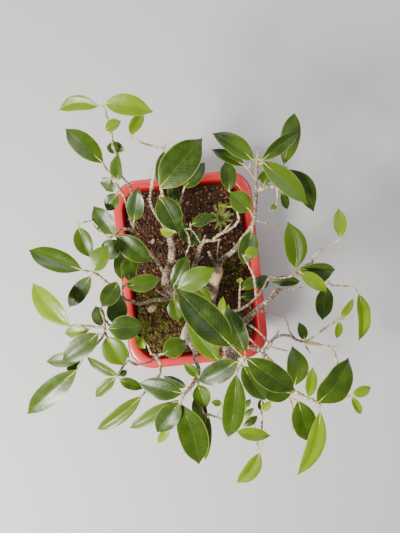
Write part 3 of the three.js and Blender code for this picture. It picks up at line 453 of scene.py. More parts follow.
def turned(draw, size):
    """A random turn, with the size along each of the shape's own axes"""
    turn = np.eye(3)
    for axis, angle in enumerate([draw.uniform(0, 2 * math.pi) for _ in range(3)]):
        c, s = math.cos(angle), math.sin(angle)
        step = np.eye(3)
        i, j = [k for k in range(3) if k != axis]
        step[i, i], step[i, j], step[j, i], step[j, j] = c, -s, s, c
        turn = turn @ step
    return turn * np.array(size)


pick_nothing()
bpy.ops.mesh.primitive_ico_sphere_add(subdivisions=1, radius=1)
edit_all()
bpy.ops.transform.vertex_random(offset=CRUMB_ROUGHNESS, seed=4)
bpy.ops.object.mode_set(mode="OBJECT")
crumb_points, crumb_faces = shape_of(bpy.context.object)
draw = random.Random(21)
copies, tones = [], []
for _ in range(GRANULES):
    at = in_pot(draw.uniform(-1, 1), draw.uniform(-1, 1), GRANULE_MARGIN)
    radius = draw.choice(GRANULE_RADII) * draw.uniform(0.8, 1.2) * MM
    height = soil_height(at.x, at.y) + radius * draw.uniform(-0.2, 0.7)
    flat = draw.uniform(0.55, 0.9)
    turn = turned(draw, (radius, radius * draw.uniform(0.7, 1), radius * flat))
    copies.append(((at.x, at.y, height), turn))
    tones.append(draw.random())
granules = scattered("soil_granules", crumb_points, crumb_faces, copies, tones)
grit = Finish("soil_grit")
pitted = grit.clouds(grit.place(), 900.0, 3.0)
granules.data.materials.append(grit.surface(
    Base_Color=grit.shade(grit.ramp(grit.attribute("tone"), *GRANULE_TONES), 0.6 + pitted * 0.8),
    Roughness=0.9,
    Normal=grit.relief(pitted, 0.6, 0.0005),
))
belongs(granules, "soil")


# The two beige pebbles: worn stone, half sunk in the soil.
# Each is a ball that is flattened, then dented by a smooth random relief.
# How deep the dents are in millimetres, and how fine
STONE_DENTS = ((1.1, 190), (0.35, 520))
STONE_BROWN, STONE_BEIGE, STONE_GRAIN = (0.34, 0.20, 0.11), (0.56, 0.39, 0.25), (0.25, 0.15, 0.09)


def pebble(name, at, size, turn, node):
    pick_nothing()
    bpy.ops.mesh.primitive_ico_sphere_add(
        subdivisions=5, radius=1, location=place(*at), scale=[v * MM for v in size])
    stone = bpy.context.object
    stone.name = name
    stone.rotation_euler = (0, 0, turn)
    settle(stone)
    dented = []
    for vertex in stone.data.vertices:
        dent = sum(depth * noise.noise(vertex.co * fineness) for depth, fineness in STONE_DENTS)
        dented.extend(vertex.co - vertex.normal * abs(dent) * MM)
    stone.data.vertices.foreach_set("co", dented)
    bpy.ops.object.shade_smooth()
    rock = Finish(name + "_stone")
    where = rock.place()
    bands = rock.clouds(where, 150.0, 5.0)
    grains = rock.clouds(where, 1500.0, 2.0)
    colour = rock.mix(bands.between(0.35, 0.65), STONE_BROWN, STONE_BEIGE)
    stone.data.materials.append(rock.surface(
        Base_Color=rock.mix(grains.between(0.6, 0.72) * 0.5, colour, STONE_GRAIN),
        Roughness=0.55 + bands * 0.25,
        Normal=rock.relief(grains, 0.3, 0.0002),
    ))
    belongs(stone, "stone", node)


pebble("pebble_big_worn", (152.5, 308.5, -9), (7.3, 5.3, 4.0), 0.5, "pebble_big")
pebble("pebble_small_worn", (153, 241, -9.5), (3.7, 2.7, 2.3), 0.9, "pebble_small")


# The trunk: the roots, the leader and the woody limbs, which grew as one, under pale grey bark.
# A round stem is drawn along each limb. The stout ones are melted into one skin, the thin ones grow from it.
# Each point keeps how far along its limb it is and how thick the limb is there, which the bark follows.
# The radius in millimetres past which a limb is stout
STOUT = 2.4
BARK_VOXEL = 0.9 * MM
# Each limb as its places: across and down on the grid, then height above the rim and radius in millimetres
LIMBS = [
    [(203, 311, -48, 13), (203, 311, -14, 25), (203, 311, -2, 19), (205, 314, 25, 15.5), (208, 320, 55, 12.5),
     (213, 329, 86, 10), (221, 341, 120, 7), (230, 352, 155, 5), (237, 358.5, 180, 3.4),
     (239.5, 360, 186, 2.6)],
    [(198, 308, -4, 10), (182, 305, -8, 6), (168, 308, -15, 3)],
    [(198, 318, 0, 12), (187, 335, -2, 8), (180, 350, -14, 3)],
    [(210, 316, -5, 10), (224, 328, -9, 6), (236, 338, -16, 3)],
    [(206, 305, -5, 9), (212, 288, -9, 5), (216, 274, -15, 2.5)],
    [(206, 306, 0, 10), (209, 297, 24, 9), (212, 287, 38, 8), (216, 276, 50, 7.2), (218.5, 270, 57, 6.2)],
    [(216, 272, 52, 3), (213, 262, 60, 2.6), (208.5, 251, 66, 1.9)],
    [(218, 264, 58, 1), (217.5, 252, 64, 0.9), (219, 241, 70, 0.8)],
    [(216, 275, 48, 5), (221, 261.5, 58, 3.4), (233.5, 250.5, 68, 2.9), (242.5, 238.5, 76, 2.5),
     (252.5, 224, 88, 2.3), (255, 210, 100, 2.2), (256, 193, 113, 2.1), (255.5, 181, 123, 1.7)],
    [(254, 219.5, 92, 1.1), (264, 222.5, 97, 0.9), (272, 225, 99, 0.8), (283, 225.5, 101, 0.8)],
    [(200, 304, 4, 8), (196, 290, 34, 5.4), (193, 272, 55, 3.4), (197.5, 257, 66, 2.9), (201.2, 245, 74, 2.8),
     (205, 241, 77, 2.1), (213, 240.8, 79, 1.5), (222, 239.3, 81, 1.2)],
    [(198, 261, 64, 1.5), (203, 256.5, 68, 1.2)],
    [(203, 241.5, 76, 1.4), (205.5, 235, 80, 1)],
    [(201, 243, 75, 1.3), (198, 239, 78, 1), (195, 234, 81, 0.9), (191, 229, 84, 0.9)],
    [(200, 308, 0, 10), (187, 301, 25, 8.5), (175, 294, 44, 7), (167, 287, 52, 6), (166, 277, 60, 5),
     (169.5, 266, 72, 4.3), (172, 252, 86, 3.9), (170, 240, 98, 3.3), (165, 228, 111, 2.3),
     (160, 220, 119, 1.7)],
    [(160, 221, 118, 1.6), (151.5, 206, 124, 1.4), (150, 198, 126, 1.3), (151, 190, 129, 1.2)],
    [(168, 278, 60, 2.2), (157, 262, 71, 1.8), (146, 248, 79, 1.6), (139, 240, 84, 1.4), (134, 231, 89, 1.3),
     (131, 222, 94, 1.3), (127, 207, 103, 1.2), (124, 196, 110, 1.1)],
    [(131, 221, 95, 1.2), (131, 205, 102, 1.2), (131, 190, 109, 1.2), (128, 184, 113, 1.3),
     (121, 175, 121, 1.2), (117, 155, 134, 1.1)],
    [(174, 296, 44, 4.6), (165, 299, 52, 2.6), (152, 300.5, 60, 2.2), (139, 304, 70, 2),
     (133, 301.5, 76, 1.9), (124, 299, 85, 1.8), (117, 291, 95, 1.7), (110, 286, 103, 1.5)],
    [(173, 295, 46, 2.4), (163.5, 294.5, 56, 1.8), (155.5, 289.5, 62, 1.3)],
    [(117, 292, 94, 1.3), (107, 300, 103, 1.3), (101, 309, 110, 1.2), (103.5, 318, 116, 1.2),
     (105, 328, 120, 1.2), (103.5, 336, 122, 1.1)],
    [(200, 320, 2, 10), (191, 331, 22, 8), (191, 341, 45, 5.6), (195, 350, 72, 3), (196, 362, 92, 2.5),
     (199, 371, 105, 2.1), (196.5, 378.5, 112, 1.9)],
    [(191, 337, 34, 4), (178, 347, 50, 2.6), (166, 353, 62, 2.1), (155.5, 356, 73, 1.7), (152, 361, 79, 1.4),
     (145, 363.5, 84, 1.2), (137, 365, 89, 1.1)],
    [(213, 330, 84, 8), (228, 330, 88, 5.8), (239, 326, 92, 4.7), (248, 318.5, 96, 3.8), (256, 310.5, 100, 3),
     (268.5, 300, 106, 2.5), (276, 293, 110, 2.3), (280.5, 289, 113, 2)],
    [(271, 297, 108, 1.8), (276, 288.5, 112, 1.4)],
    [(279, 290, 112, 1.2), (291, 289, 114, 1), (303, 287, 116, 0.8)],
    [(257, 310, 100, 1.2), (265, 312.5, 104, 0.9), (276, 315, 107, 0.8), (284.5, 317.5, 108, 0.9),
     (288, 325, 109, 0.9), (290, 332, 111, 0.9), (295, 338, 114, 0.9)],
    [(212, 327, 68, 5), (230, 313, 80, 2.1), (241, 309, 84, 1.9), (249, 304, 88, 1.7), (260, 293, 94, 1.6),
     (265, 285, 97, 1.4), (270, 277.5, 100, 1.5), (281, 278, 104, 1.3), (290, 276.8, 107, 1.3)],
    [(224, 331, 87, 6), (237, 341, 91, 3.6), (248, 347.2, 95, 2.5), (256, 349.3, 97, 2.4),
     (262, 350.3, 99, 2.5), (269, 346.5, 103, 2.3), (272.5, 340, 106, 2), (278, 336.5, 109, 1.7),
     (288, 335.5, 113, 1.7), (297, 340, 116, 1.5), (304, 342, 118, 1.5)],
    [(241, 326, 91, 3), (246, 335, 93, 2), (252, 341, 95, 1.3), (259, 347.5, 98, 1.2)],
    [(274, 339, 107, 1.5), (279, 331, 111, 1.1)],
    [(269, 346.5, 103, 1.2), (277, 348.5, 106, 1), (287, 351, 109, 0.8)],
    [(250, 325, 94, 1.5), (258, 331, 97, 1.1), (269.5, 343.5, 104, 1.1)],
    [(260, 350, 98, 2.2), (268, 358, 103, 1.9), (277, 367, 109, 1.5), (285, 376, 114, 1.4),
     (289.5, 384, 118, 1.3)],
]
# How far apart the rings of old leaf scars are, and how that grows with the limb's radius
RING_GAP, RING_GAP_GROWTH = 3.2, 0.28
RING_HEIGHT, RING_WIDTH = 0.42, 0.14
BARK_LUMPS, BARK_GRAIN = 110, 420
BARK_GREY, BARK_PALE, BARK_CREAM = (0.200, 0.124, 0.074), (0.76, 0.59, 0.41), (0.95, 0.80, 0.60)
BARK_YOUNG, BARK_PORE, BARK_RING = (0.64, 0.50, 0.35), (0.74, 0.65, 0.53), (0.070, 0.040, 0.022)
BARK_CRACK, BARK_SCAR, BARK_DAMP = (0.060, 0.040, 0.028), (0.085, 0.050, 0.028), (0.060, 0.058, 0.020)
# Pale spots on the bark: where they are, how far they reach, and their colour. The first is a painted patch
# of sunlight on the root; the second is the stump's pale top, partly bare wood and partly painted sunlight.
SUNLIT_AND_BARE_SPOTS = [
    ((185, 337, 14), 19 * MM, (1.0, 0.94, 0.78)),
    ((214, 277, 46), 13 * MM, (0.66, 0.46, 0.26)),
]


def placed(row):
    """A row's places and radii"""
    return [(place(*at[:3]), at[3]) for at in row]


def stems(name, rows, sides=10, steps=5):
    """Round stems through rows of (place, radius), as one mesh"""
    curve = bpy.data.curves.new(name, "CURVE")
    curve.dimensions = "3D"
    curve.bevel_depth = MM
    curve.bevel_resolution = sides // 2 - 2
    curve.resolution_u = steps
    curve.use_fill_caps = True
    for row in rows:
        spline = curve.splines.new("BEZIER")
        spline.bezier_points.add(len(row) - 1)
        for point, (at, radius) in zip(spline.bezier_points, row):
            point.co = at
            point.radius = radius
            point.handle_left_type = "AUTO"
            point.handle_right_type = "AUTO"
    pick(linked(name, curve))
    bpy.ops.object.convert(target="MESH")
    return bpy.context.object


def joined(first, *others):
    pick(first)
    for other in others:
        other.select_set(True)
    bpy.ops.object.join()
    return first


def is_stout(row):
    return max(at[3] for at in row) > STOUT


stout = stems("stout_limbs", [placed(row) for row in LIMBS if is_stout(row)], 16, 8)
thin = stems("thin_limbs", [placed(row) for row in LIMBS if not is_stout(row)], 10, 8)
modified(stout, "REMESH", mode="VOXEL", voxel_size=BARK_VOXEL)
modified(stout, "SMOOTH", factor=0.5, iterations=3)
trunk = joined(stout, thin)
trunk.name = "trunk_bark"

points = np.array([vertex.co for vertex in trunk.data.vertices])
nearest = np.full(len(points), np.inf)
along = np.zeros(len(points))
thick = np.zeros(len(points))
for row in map(placed, LIMBS):
    run = 0.0
    for (start, start_radius), (end, end_radius) in zip(row, row[1:]):
        length = (end - start).length
        start, span = np.array(start), np.array(end) - np.array(start)
        share = np.clip((points - start) @ span / (span @ span), 0, 1)
        radius = start_radius + share * (end_radius - start_radius)
        gap = np.linalg.norm(points - start - share[:, None] * span, axis=1) - radius * MM
        nearer = gap < nearest
        nearest[nearer] = gap[nearer]
        along[nearer] = (run + share * length)[nearer]
        thick[nearer] = radius[nearer]
        run += length
keep_values(trunk.data, "along", along)
keep_values(trunk.data, "thick", thick)
normals = np.array([vertex.normal for vertex in trunk.data.vertices])
coarse = np.array([noise.noise(Vector(at) * BARK_LUMPS) for at in points])
fine = np.array([noise.noise(Vector(at) * BARK_GRAIN) for at in points])
spacing = RING_GAP + RING_GAP_GROWTH * np.minimum(thick, 12)
rings = np.exp(-(((along / MM + 2.5 * coarse) / spacing % 1 - 0.5) / RING_WIDTH) ** 2)
swell = (0.10 * coarse + 0.05 * fine) * np.minimum(thick, 8) - 0.12
swell += RING_HEIGHT * rings * np.minimum(thick / 3, 1)
trunk.data.vertices.foreach_set("co", (points + normals * swell[:, None] * MM).ravel())
pick(trunk)
bpy.ops.object.shade_smooth()

bark = Finish("fig_bark")
where = bark.place()
x, y, z = bark.split(where)
patches = bark.clouds(where, 70.0, 6.0, 0.62)
flakes = bark.clouds(where, 210.0, 5.0, 0.7)
rings = (bark.attribute("along") * 270 + bark.clouds(where, 120.0, 2.0) * 2.2).wave() ** 4
pores = 1 - bark.cells(where, 520.0).between(0.14, 0.32)
cracks = bark.cells(where, 240.0, "DISTANCE_TO_EDGE").between(0.0, 0.09)
young = 1 - bark.attribute("thick").between(1.3, 2.6)
scars = 1 - bark.cells(where, 170.0).between(0.16, 0.34)
damp = (1 - z.between(0.066, 0.092)) * patches.between(0.35, 0.6)
colour = bark.mix(patches.between(0.36, 0.60), BARK_GREY, BARK_PALE)
colour = bark.mix(patches.between(0.56, 0.68) * 0.8, colour, BARK_CREAM)
colour = bark.mix(young * 0.6, colour, BARK_YOUNG)
colour = bark.mix(rings * 0.62, colour, BARK_RING)
colour = bark.mix(pores * 0.55, colour, BARK_PORE)
colour = bark.mix((1 - cracks) * 0.5, colour, BARK_CRACK)
colour = bark.mix(scars * 0.72, colour, BARK_SCAR)
colour = bark.mix(damp * 0.6, colour, BARK_DAMP)
# Painted sunlight: each spot lightens the bark, the root's wholly and the stump's in part.
for at, reach, spot_colour in SUNLIT_AND_BARE_SPOTS:
    spot = place(*at)
    away = ((x - spot.x) ** 2 + (y - spot.y) ** 2 + ((z - spot.z) * 0.5) ** 2) ** 0.5 + patches * 0.008
    colour = bark.mix((1 - away.between(reach, reach + 0.003)) * 0.9, colour, spot_colour)
trunk.data.materials.append(bark.surface(
    Base_Color=bark.shade(colour, 0.25 + flakes * 1.5),
    Roughness=0.68 + flakes * 0.25,
    Normal=bark.relief(flakes * 1.4 + pores * 0.5 - rings * 0.7 + cracks * 0.8 + patches, 0.9, 0.0016),
))
belongs(trunk, "bark", "trunk")


# The leafy shoots: thin twigs with young bark, and their leaves, cupped along the midrib and waxy on top.
# One blade is a fine grid. A copy of it takes each leaf's place, size, fold and roll, and gets its thickness.
# The stalk is a stem that goes on under the blade as its midrib.
BLADE_ACROSS = 8
BLADE_ALONG = 16
BLADE_THICKNESS = 0.42 * MM
# A blade's half width from its stalk to its tip
OUTLINE_AT = [0, 0.04, 0.10, 0.18, 0.30, 0.44, 0.58, 0.70, 0.80, 0.88, 0.94, 0.98, 1]
OUTLINE = [0.03, 0.22, 0.48, 0.73, 0.94, 1.0, 0.965, 0.84, 0.63, 0.37, 0.155, 0.055, 0.01]
ARCH = 0.05
# How much leaves differ: the power that fills or thins their outline, and shares of their length or width
FULLNESS, TIP_CURL, CUP, RIPPLE, SWAY = (0.94, 1.08), (0.0, 0.05), (0.02, 0.16), (0.03, 0.08), (-0.02, 0.02)
# The stalk's radii at the twig and at the blade, and the midrib's where it starts and at the tip
STALK_RADII, RIB_RADII = (0.75, 0.62), (0.50, 0.08)
RIB_DEPTH = 0.32 * MM
KNOB_GAP = 2.6 * MM
KNOB_SWELL, KNOB_WAIST, KNOB_JOG = 1.32, 0.82, 0.2 * MM
TONES = {"grown": 0.20, "fresh": 0.43, "young": 0.86}
TOP_GREENS = [
    (0.0, (0.014, 0.034, 0.003)), (0.22, (0.030, 0.066, 0.003)), (0.5, (0.074, 0.140, 0.002)),
    (0.75, (0.140, 0.230, 0.001)), (1.0, (0.215, 0.325, 0.001)),
]
UNDER_GREENS = [(0.0, (0.100, 0.150, 0.034)), (0.5, (0.150, 0.225, 0.036)), (1.0, (0.250, 0.350, 0.020))]
BLOTCH_GREEN, BASE_GREEN, VEIN_GREEN = (0.090, 0.150, 0.006), (0.15, 0.23, 0.005), (0.19, 0.29, 0.07)
RIB_GREEN, UNDER_RIB, MARGIN_GREEN = (0.28, 0.36, 0.05), (0.36, 0.42, 0.14), (0.42, 0.50, 0.10)
DUST, NODE_BROWN = (0.55, 0.62, 0.50), (0.070, 0.045, 0.025)
STALK_LIGHT, STALK_DARK = (0.56, 0.62, 0.14), (0.34, 0.44, 0.07)
TWIG_LIGHT, TWIG_DARK = (0.66, 0.55, 0.36), (0.30, 0.22, 0.12)

pick_nothing()
bpy.ops.mesh.primitive_grid_add(x_subdivisions=BLADE_ACROSS, y_subdivisions=BLADE_ALONG, size=2)
blade_points, blade_faces = shape_of(bpy.context.object)
blade_across = blade_points[:, 0]
blade_along = blade_points[:, 1] * 0.5 + 0.5


def leaf_axes(base, tip, roll):
    """The ways along, across and up from a blade"""
    ahead = (tip - base).normalized()
    level = ahead.cross(Vector((0, 0, 1))).normalized()
    side = level * math.cos(roll) + level.cross(ahead) * math.sin(roll)
    return ahead, side, side.cross(ahead)


def leaf_points(base_at, tip_at, seen, roll, fold, bow=0):
    """The top of one leaf's blade"""
    base, tip = place(*base_at), place(*tip_at)
    roll, fold = math.radians(roll), math.radians(fold)
    ahead, side, up = leaf_axes(base, tip, roll)
    length = (tip - base).length
    height = (base_at[2] + tip_at[2]) / 2
    half = seen * GRID_STEP * (EYE_ABOVE_RIM - height) / EYE_ABOVE_RIM / 2 * MM
    half /= math.cos(roll) * math.cos(fold)
    wide = half * np.interp(blade_along ** draw.uniform(*FULLNESS), OUTLINE_AT, OUTLINE)
    off = np.abs(blade_across)
    arch = ARCH * length * np.sin(np.pi * blade_along)
    arch -= draw.uniform(*TIP_CURL) * length * np.clip(blade_along * 5 - 4, 0, 1) ** 2
    cup = wide * (off * math.sin(fold) + draw.uniform(*CUP) * np.sin(np.pi * off) * off)
    phase, turns = draw.uniform(0, 6.3), draw.uniform(0.9, 1.9)
    ripple = draw.uniform(*RIPPLE) * wide * off ** 2
    ripple *= np.sin(blade_along * turns * 2 * np.pi + phase + (blade_across > 0) * draw.uniform(1, 3))
    sway = (bow + draw.uniform(*SWAY)) * length * np.sin(np.pi * blade_along)
    points = np.array(base)[None] + np.outer(blade_along * length, ahead)
    points += np.outer(blade_across * wide * math.cos(fold) + sway, side)
    return points + np.outer(arch + cup + ripple, up)


def stalk_row(root, base_at, tip_at, roll, points):
    """The stalk from the twig, and on under the blade as its midrib"""
    base = place(*base_at)
    up = leaf_axes(base, place(*tip_at), math.radians(roll))[2]
    centre = points[np.abs(blade_across) < 1e-6]
    row = [(root, STALK_RADII[0]), (base, STALK_RADII[1])]
    for share in (0.2, 0.5, 0.8, 0.96):
        at = Vector(centre[int(share * BLADE_ALONG)]) - up * RIB_DEPTH
        row.append((at, RIB_RADII[0] + (RIB_RADII[1] - RIB_RADII[0]) * share))
    return row


def nearest_on(twigs, point):
    """The twigs' place that is nearest to a point"""
    found = []
    for row in map(placed, twigs):
        for (a, _), (b, _) in zip(row, row[1:]):
            share = min(1, max(0, (point - a).dot(b - a) / (b - a).length_squared))
            found.append(a.lerp(b, share))
    return min(found, key=lambda at: (at - point).length)


def waxy(name, under):
    """The finish of a blade's top, or of its paler and duller underside"""
    wax = Finish(name)
    tone = wax.attribute("tone")
    luck = wax.attribute("luck")
    u, v, _ = wax.split(wax.node("ShaderNodeUVMap", {"uv_map": "blade"}, {}))
    off = abs(u * 2 - 1)
    where = wax.place()
    blotch = wax.clouds(where, 95.0, 4.0)
    rib = 1 - off.between(0.008, 0.045)
    veins = (v * 15 - off * 3.4).wave() ** 14 * (1 - off.between(0.6, 0.95)) * (1 - rib)
    if under:
        colour = wax.mix(rib * 0.7 + veins * 0.25, wax.ramp(tone, *UNDER_GREENS), UNDER_RIB)
        roughness = 0.5 + blotch * 0.2
        relief = rib * 1.2 + veins * 0.7 + wax.clouds(where, 900.0, 2.0) * 0.3
    else:
        colour = wax.mix(blotch.between(0.40, 0.72) * 0.35, wax.ramp(tone, *TOP_GREENS), BLOTCH_GREEN)
        colour = wax.mix((1 - v.between(0.0, 0.32)) * 0.22, colour, BASE_GREEN)
        colour = wax.mix(veins * 0.07, colour, VEIN_GREEN)
        colour = wax.mix(rib * 0.15, colour, RIB_GREEN)
        specks = 1 - wax.cells(where, 300.0).between(0.05, 0.13)
        dusty = wax.clouds(where, 60.0).between(0.50, 0.62) * luck.between(0.55, 0.9)
        dust = specks * dusty * (1 - tone.between(0.6, 0.8))
        colour = wax.mix(dust * 0.75, colour, DUST)
        roughness = 0.20 + blotch * 0.22 + luck * 0.12 + dust * 0.3
        relief = wax.clouds(where, 120.0, 3.0) * 2.2 - rib * 0.9 - veins * 0.22 + dust * 0.4
    return wax.surface(
        Base_Color=wax.mix(off.between(0.925, 0.985) * 0.5, colour, MARGIN_GREEN),
        Roughness=roughness,
        Specular_IOR_Level=0.34,
        Coat_Weight=0.0 if under else 0.16,
        Coat_Roughness=0.24,
        Normal=wax.relief(relief, 0.4, 0.0005),
    )


def stalk_finish(name, light, dark):
    green = Finish(name)
    where = green.place()
    streaks = green.clouds(where, 150.0, 4.0)
    nodes = green.clouds(where, 330.0, 2.0)
    specks = green.cells(where, 620.0).between(0.1, 0.3)
    colour = green.mix(streaks.between(0.40, 0.58), light, dark)
    colour = green.mix(nodes.between(0.62, 0.72) * 0.6, colour, NODE_BROWN)
    return green.surface(
        Base_Color=green.shade(colour, 0.72 + specks * 0.35),
        Roughness=0.5 + streaks * 0.2,
        Normal=green.relief(streaks + specks * 0.5, 0.6, 0.0006),
    )


leaf_top = waxy("leaf_top", False)
leaf_under = waxy("leaf_underside", True)
stalk_green = stalk_finish("leaf_stalk", STALK_LIGHT, STALK_DARK)
twig_tan = stalk_finish("shoot_bark", TWIG_LIGHT, TWIG_DARK)


def knobbly(row):
    """A twig's row with the swollen rings where old leaves were"""
    grown = []
    for (a, a_radius), (b, b_radius) in zip(row, row[1:]):
        count = max(1, round((b - a).length / KNOB_GAP))
        for k in range(count):
            swell = KNOB_SWELL if len(grown) % 2 else KNOB_WAIST
            jog = Vector([draw.uniform(-KNOB_JOG, KNOB_JOG) for _ in range(3)]) if k else Vector()
            radius = (a_radius + (b_radius - a_radius) * k / count) * swell
            grown.append((a.lerp(b, k / count) + jog, radius))
    return grown + [(row[-1][0], row[-1][1] * 0.9)]


def bud(row):
    """The pointed bud that goes on from a twig's end"""
    (before, _), (end, radius) = row[-2:]
    onward = (end - before).normalized()
    return [(end, radius * 0.9), (end + onward * 2.2 * MM, radius * 0.8), (end + onward * 4.6 * MM, 0.12)]


def leafy(node, twigs, leaves):
    """One shoot as one mesh: its blades with their thickness, their stalks, and the twigs.
    A twig is a row of places as a limb is. A leaf is its age, base, tip, width as seen, roll, fold, bow"""
    name = node.replace("spray", "shoot")
    tops, tones, lucks, stalks = [], [], [], []
    for age, base_at, tip_at, seen, roll, *bends in leaves:
        points = leaf_points(base_at, tip_at, seen, roll, *bends)
        tops.append(points)
        tones.append(min(1, max(0, TONES[age] + draw.uniform(-0.14, 0.14))))
        lucks.append(draw.random())
        stalks.append(stalk_row(nearest_on(twigs, place(*base_at)), base_at, tip_at, roll, points))
    count = len(blade_points)
    faces = np.concatenate([blade_faces + k * count for k in range(len(tops))])
    mesh = bpy.data.meshes.new(name)
    mesh.from_pydata(np.concatenate(tops).tolist(), [], faces.tolist())
    corners = np.empty(len(mesh.loops), dtype=int)
    mesh.loops.foreach_get("vertex_index", corners)
    uv = np.stack([blade_across * 0.5 + 0.5, blade_along], axis=1)[corners % count]
    mesh.uv_layers.new(name="blade").data.foreach_set("uv", uv.ravel())
    keep_values(mesh, "tone", np.repeat(tones, count))
    keep_values(mesh, "luck", np.repeat(lucks, count))
    shoot = linked(name, mesh)
    for finish in (leaf_top, leaf_under, stalk_green, twig_tan):
        mesh.materials.append(finish)
    modified(
        shoot, "SOLIDIFY", thickness=BLADE_THICKNESS, offset=-1, material_offset=1, use_even_offset=False)
    green = stems(name + "_stalks", stalks, 8, 3)
    green.data.materials.append(stalk_green)
    rows = [knobbly(placed(row)) for row in twigs]
    tan = stems(name + "_twigs", rows + [bud(row) for row in rows], 10, 2)
    tan.data.materials.append(twig_tan)
    joined(shoot, green, tan)
    points = np.array([vertex.co for vertex in mesh.vertices])
    mesh.vertices.foreach_set("co", np.clip(points, *cad_box).ravel())
    bpy.ops.object.shade_smooth_by_angle(angle=math.radians(50))
    belongs(shoot, "leaf", node)


draw = random.Random(7)
leafy("spray_north_west_tip", [
    [(117, 155, 134, 1.4), (113, 147, 139, 1.3), (111, 132, 146, 1.2), (106, 115, 153, 1.1),
     (103, 105, 156, 1)],
], [
    ("young", (98.5, 105.5, 156), (58.5, 110, 146), 14, 18, 14, 0.1),
    ("young", (105, 103.5, 158), (153.5, 112, 152), 20, -12, 16, -0.06),
    ("young", (105, 130, 152), (121, 121, 154), 13, 10, 12),
    ("grown", (124, 149.5, 134), (106, 146.5, 126), 13, 0, 6),
])
leafy("spray_north_west_side", [
    [(124, 196, 110, 1.5), (117, 185, 117, 1.4), (112, 177, 121, 1.3), (107, 170, 124, 1.2),
     (103.5, 164, 126, 1.1)],
], [
    ("grown", (103, 163, 128), (65, 128, 122), 22, -8, 12),
    ("grown", (118, 180, 126), (118, 153, 147), 14, 12, 22),
    ("grown", (111, 178, 118), (106, 191, 108), 18, 0, 8),
    ("grown", (117.5, 193.5, 112), (106.5, 211, 104), 15, 0, 10),
])
leafy("spray_north_arc", [
    [(151, 190, 129, 1.7), (153, 180, 132, 1.6), (154, 174, 134, 1.5), (159, 163, 137, 1.4),
     (163, 152, 140, 1.3), (162, 148, 142, 1.2), (155, 147, 143, 1.1), (144, 143.5, 146, 1),
     (131, 137, 149, 0.8)],
    [(163, 151, 140, 1), (165, 144, 144, 0.9), (169, 142, 146, 0.7)],
], [
    ("young", (131, 135, 150), (142.5, 113, 137), 13, 8, 18),
])
leafy("spray_north", [
    [(160, 220, 119, 2.2), (162, 208, 132, 1.9), (163, 198, 146, 1.6), (162, 191, 155, 1.3)],
    [(162, 209, 130, 1.3), (171, 210, 128, 1.1), (179, 205, 131, 1), (182, 196, 137, 0.9),
     (184, 189, 142, 0.8)],
    [(162, 210, 130, 1.2), (168, 221, 127, 1), (174, 230, 124, 0.8)],
], [
    ("grown", (160, 188.5, 158), (202.5, 138, 168), 34, -10, 9),
    ("grown", (160, 186, 148), (164, 150, 147), 13, 0, 6),
    ("grown", (159.5, 196, 150), (178.5, 232, 138), 25, 0, 8),
    ("grown", (184, 188, 143), (205, 162, 140), 17, 0, 8),
    ("grown", (178, 202, 133), (169, 184, 136), 12, 0, 6),
    ("young", (175, 232, 123), (160, 231, 119), 12, 0, 10),
])
leafy("spray_west_high", [
    [(134, 231, 89, 1.6), (129, 229, 94, 1.4), (121, 229, 99, 1.3), (116, 234, 104, 1.2),
     (108, 238.5, 107, 1.1), (98, 228, 111, 1), (92, 220.5, 114, 0.9), (80, 223, 117, 0.8)],
    [(133.5, 230, 91, 1.2), (133.5, 222, 101, 1.1)],
], [
    ("grown", (114.5, 234.5, 108), (93, 206, 113), 21, 12, 10),
    ("grown", (117, 235.5, 106), (151, 262, 96), 22, -5, 10),
    ("grown", (117, 240, 100), (105, 260, 90), 20, 0, 6),
    ("grown", (78.5, 227, 118), (90.5, 258, 109), 18, 5, 12),
    ("grown", (134, 220.5, 104), (138, 187, 125), 18, 0, 8),
])
leafy("spray_west", [
    [(110, 286, 103, 1.7), (105, 281, 108, 1.5), (97, 274.5, 113, 1.4), (92, 272, 116, 1.2),
     (84, 270.5, 119, 1)],
], [
    ("grown", (82, 270, 120), (27.5, 249.5, 114), 22, -14, 12),
    ("grown", (91, 276, 113), (68, 307.5, 103), 17, 0, 7),
    ("fresh", (93, 271, 118), (108, 245, 122), 20, 8, 10),
    ("grown", (118, 283, 112), (101, 308, 118), 19, 0, 5),
])
leafy("spray_west_middle", [
    [(124, 299, 85, 1.7), (121, 292, 92, 1.4), (123, 286.5, 99, 1.2), (125, 285, 102, 1)],
], [
    ("grown", (126.5, 286, 104), (161, 279.5, 98), 17, 5, 10),
    ("grown", (129, 281, 94), (131, 253, 86), 17, 0, 5),
    ("grown", (122, 280, 90), (119, 250, 80), 13, 0, 5),
])
leafy("spray_west_under", [
    [(103.5, 318, 116, 1.1), (109, 325, 107, 1), (115, 329.5, 98, 0.9)],
], [
    ("grown", (116, 325.5, 96.5), (119, 295, 90), 21, 0, 6),
])
leafy("spray_west_outer", [
    [(105, 327, 119.5, 1.2), (98, 327.5, 122, 1.1), (90, 326, 124, 1.1), (76, 325.5, 127, 1),
     (71, 326, 128, 0.9)],
], [
    ("young", (69.5, 326, 129), (31, 283, 122), 24, 8, 9),
    ("young", (89, 329.5, 119), (64, 333, 112), 13, 0, 8),
    ("grown", (101.5, 326, 113), (95, 306, 101), 14, 0, 5),
])
leafy("spray_west_lower", [
    [(103.5, 336, 122, 1.2), (96, 345, 114, 1.1), (84, 356, 112, 1), (77.5, 368, 114, 0.9)],
], [
    ("grown", (98.5, 334, 127), (61.5, 361, 121), 22, 0, 9),
    ("grown", (80, 357, 108), (45.5, 362, 101), 15, 0, 6),
    ("grown", (80, 359, 104), (66, 371, 97), 11, 0, 5),
    ("grown", (76.5, 370, 116), (26.5, 415, 104), 23, 6, 10, 0.03),
])
leafy("spray_west_inner", [
    [(104.5, 331, 121, 1.2), (107, 330, 123, 1)],
], [
    ("grown", (108.5, 329, 124), (144.5, 326.5, 117), 25, 0, 7),
])
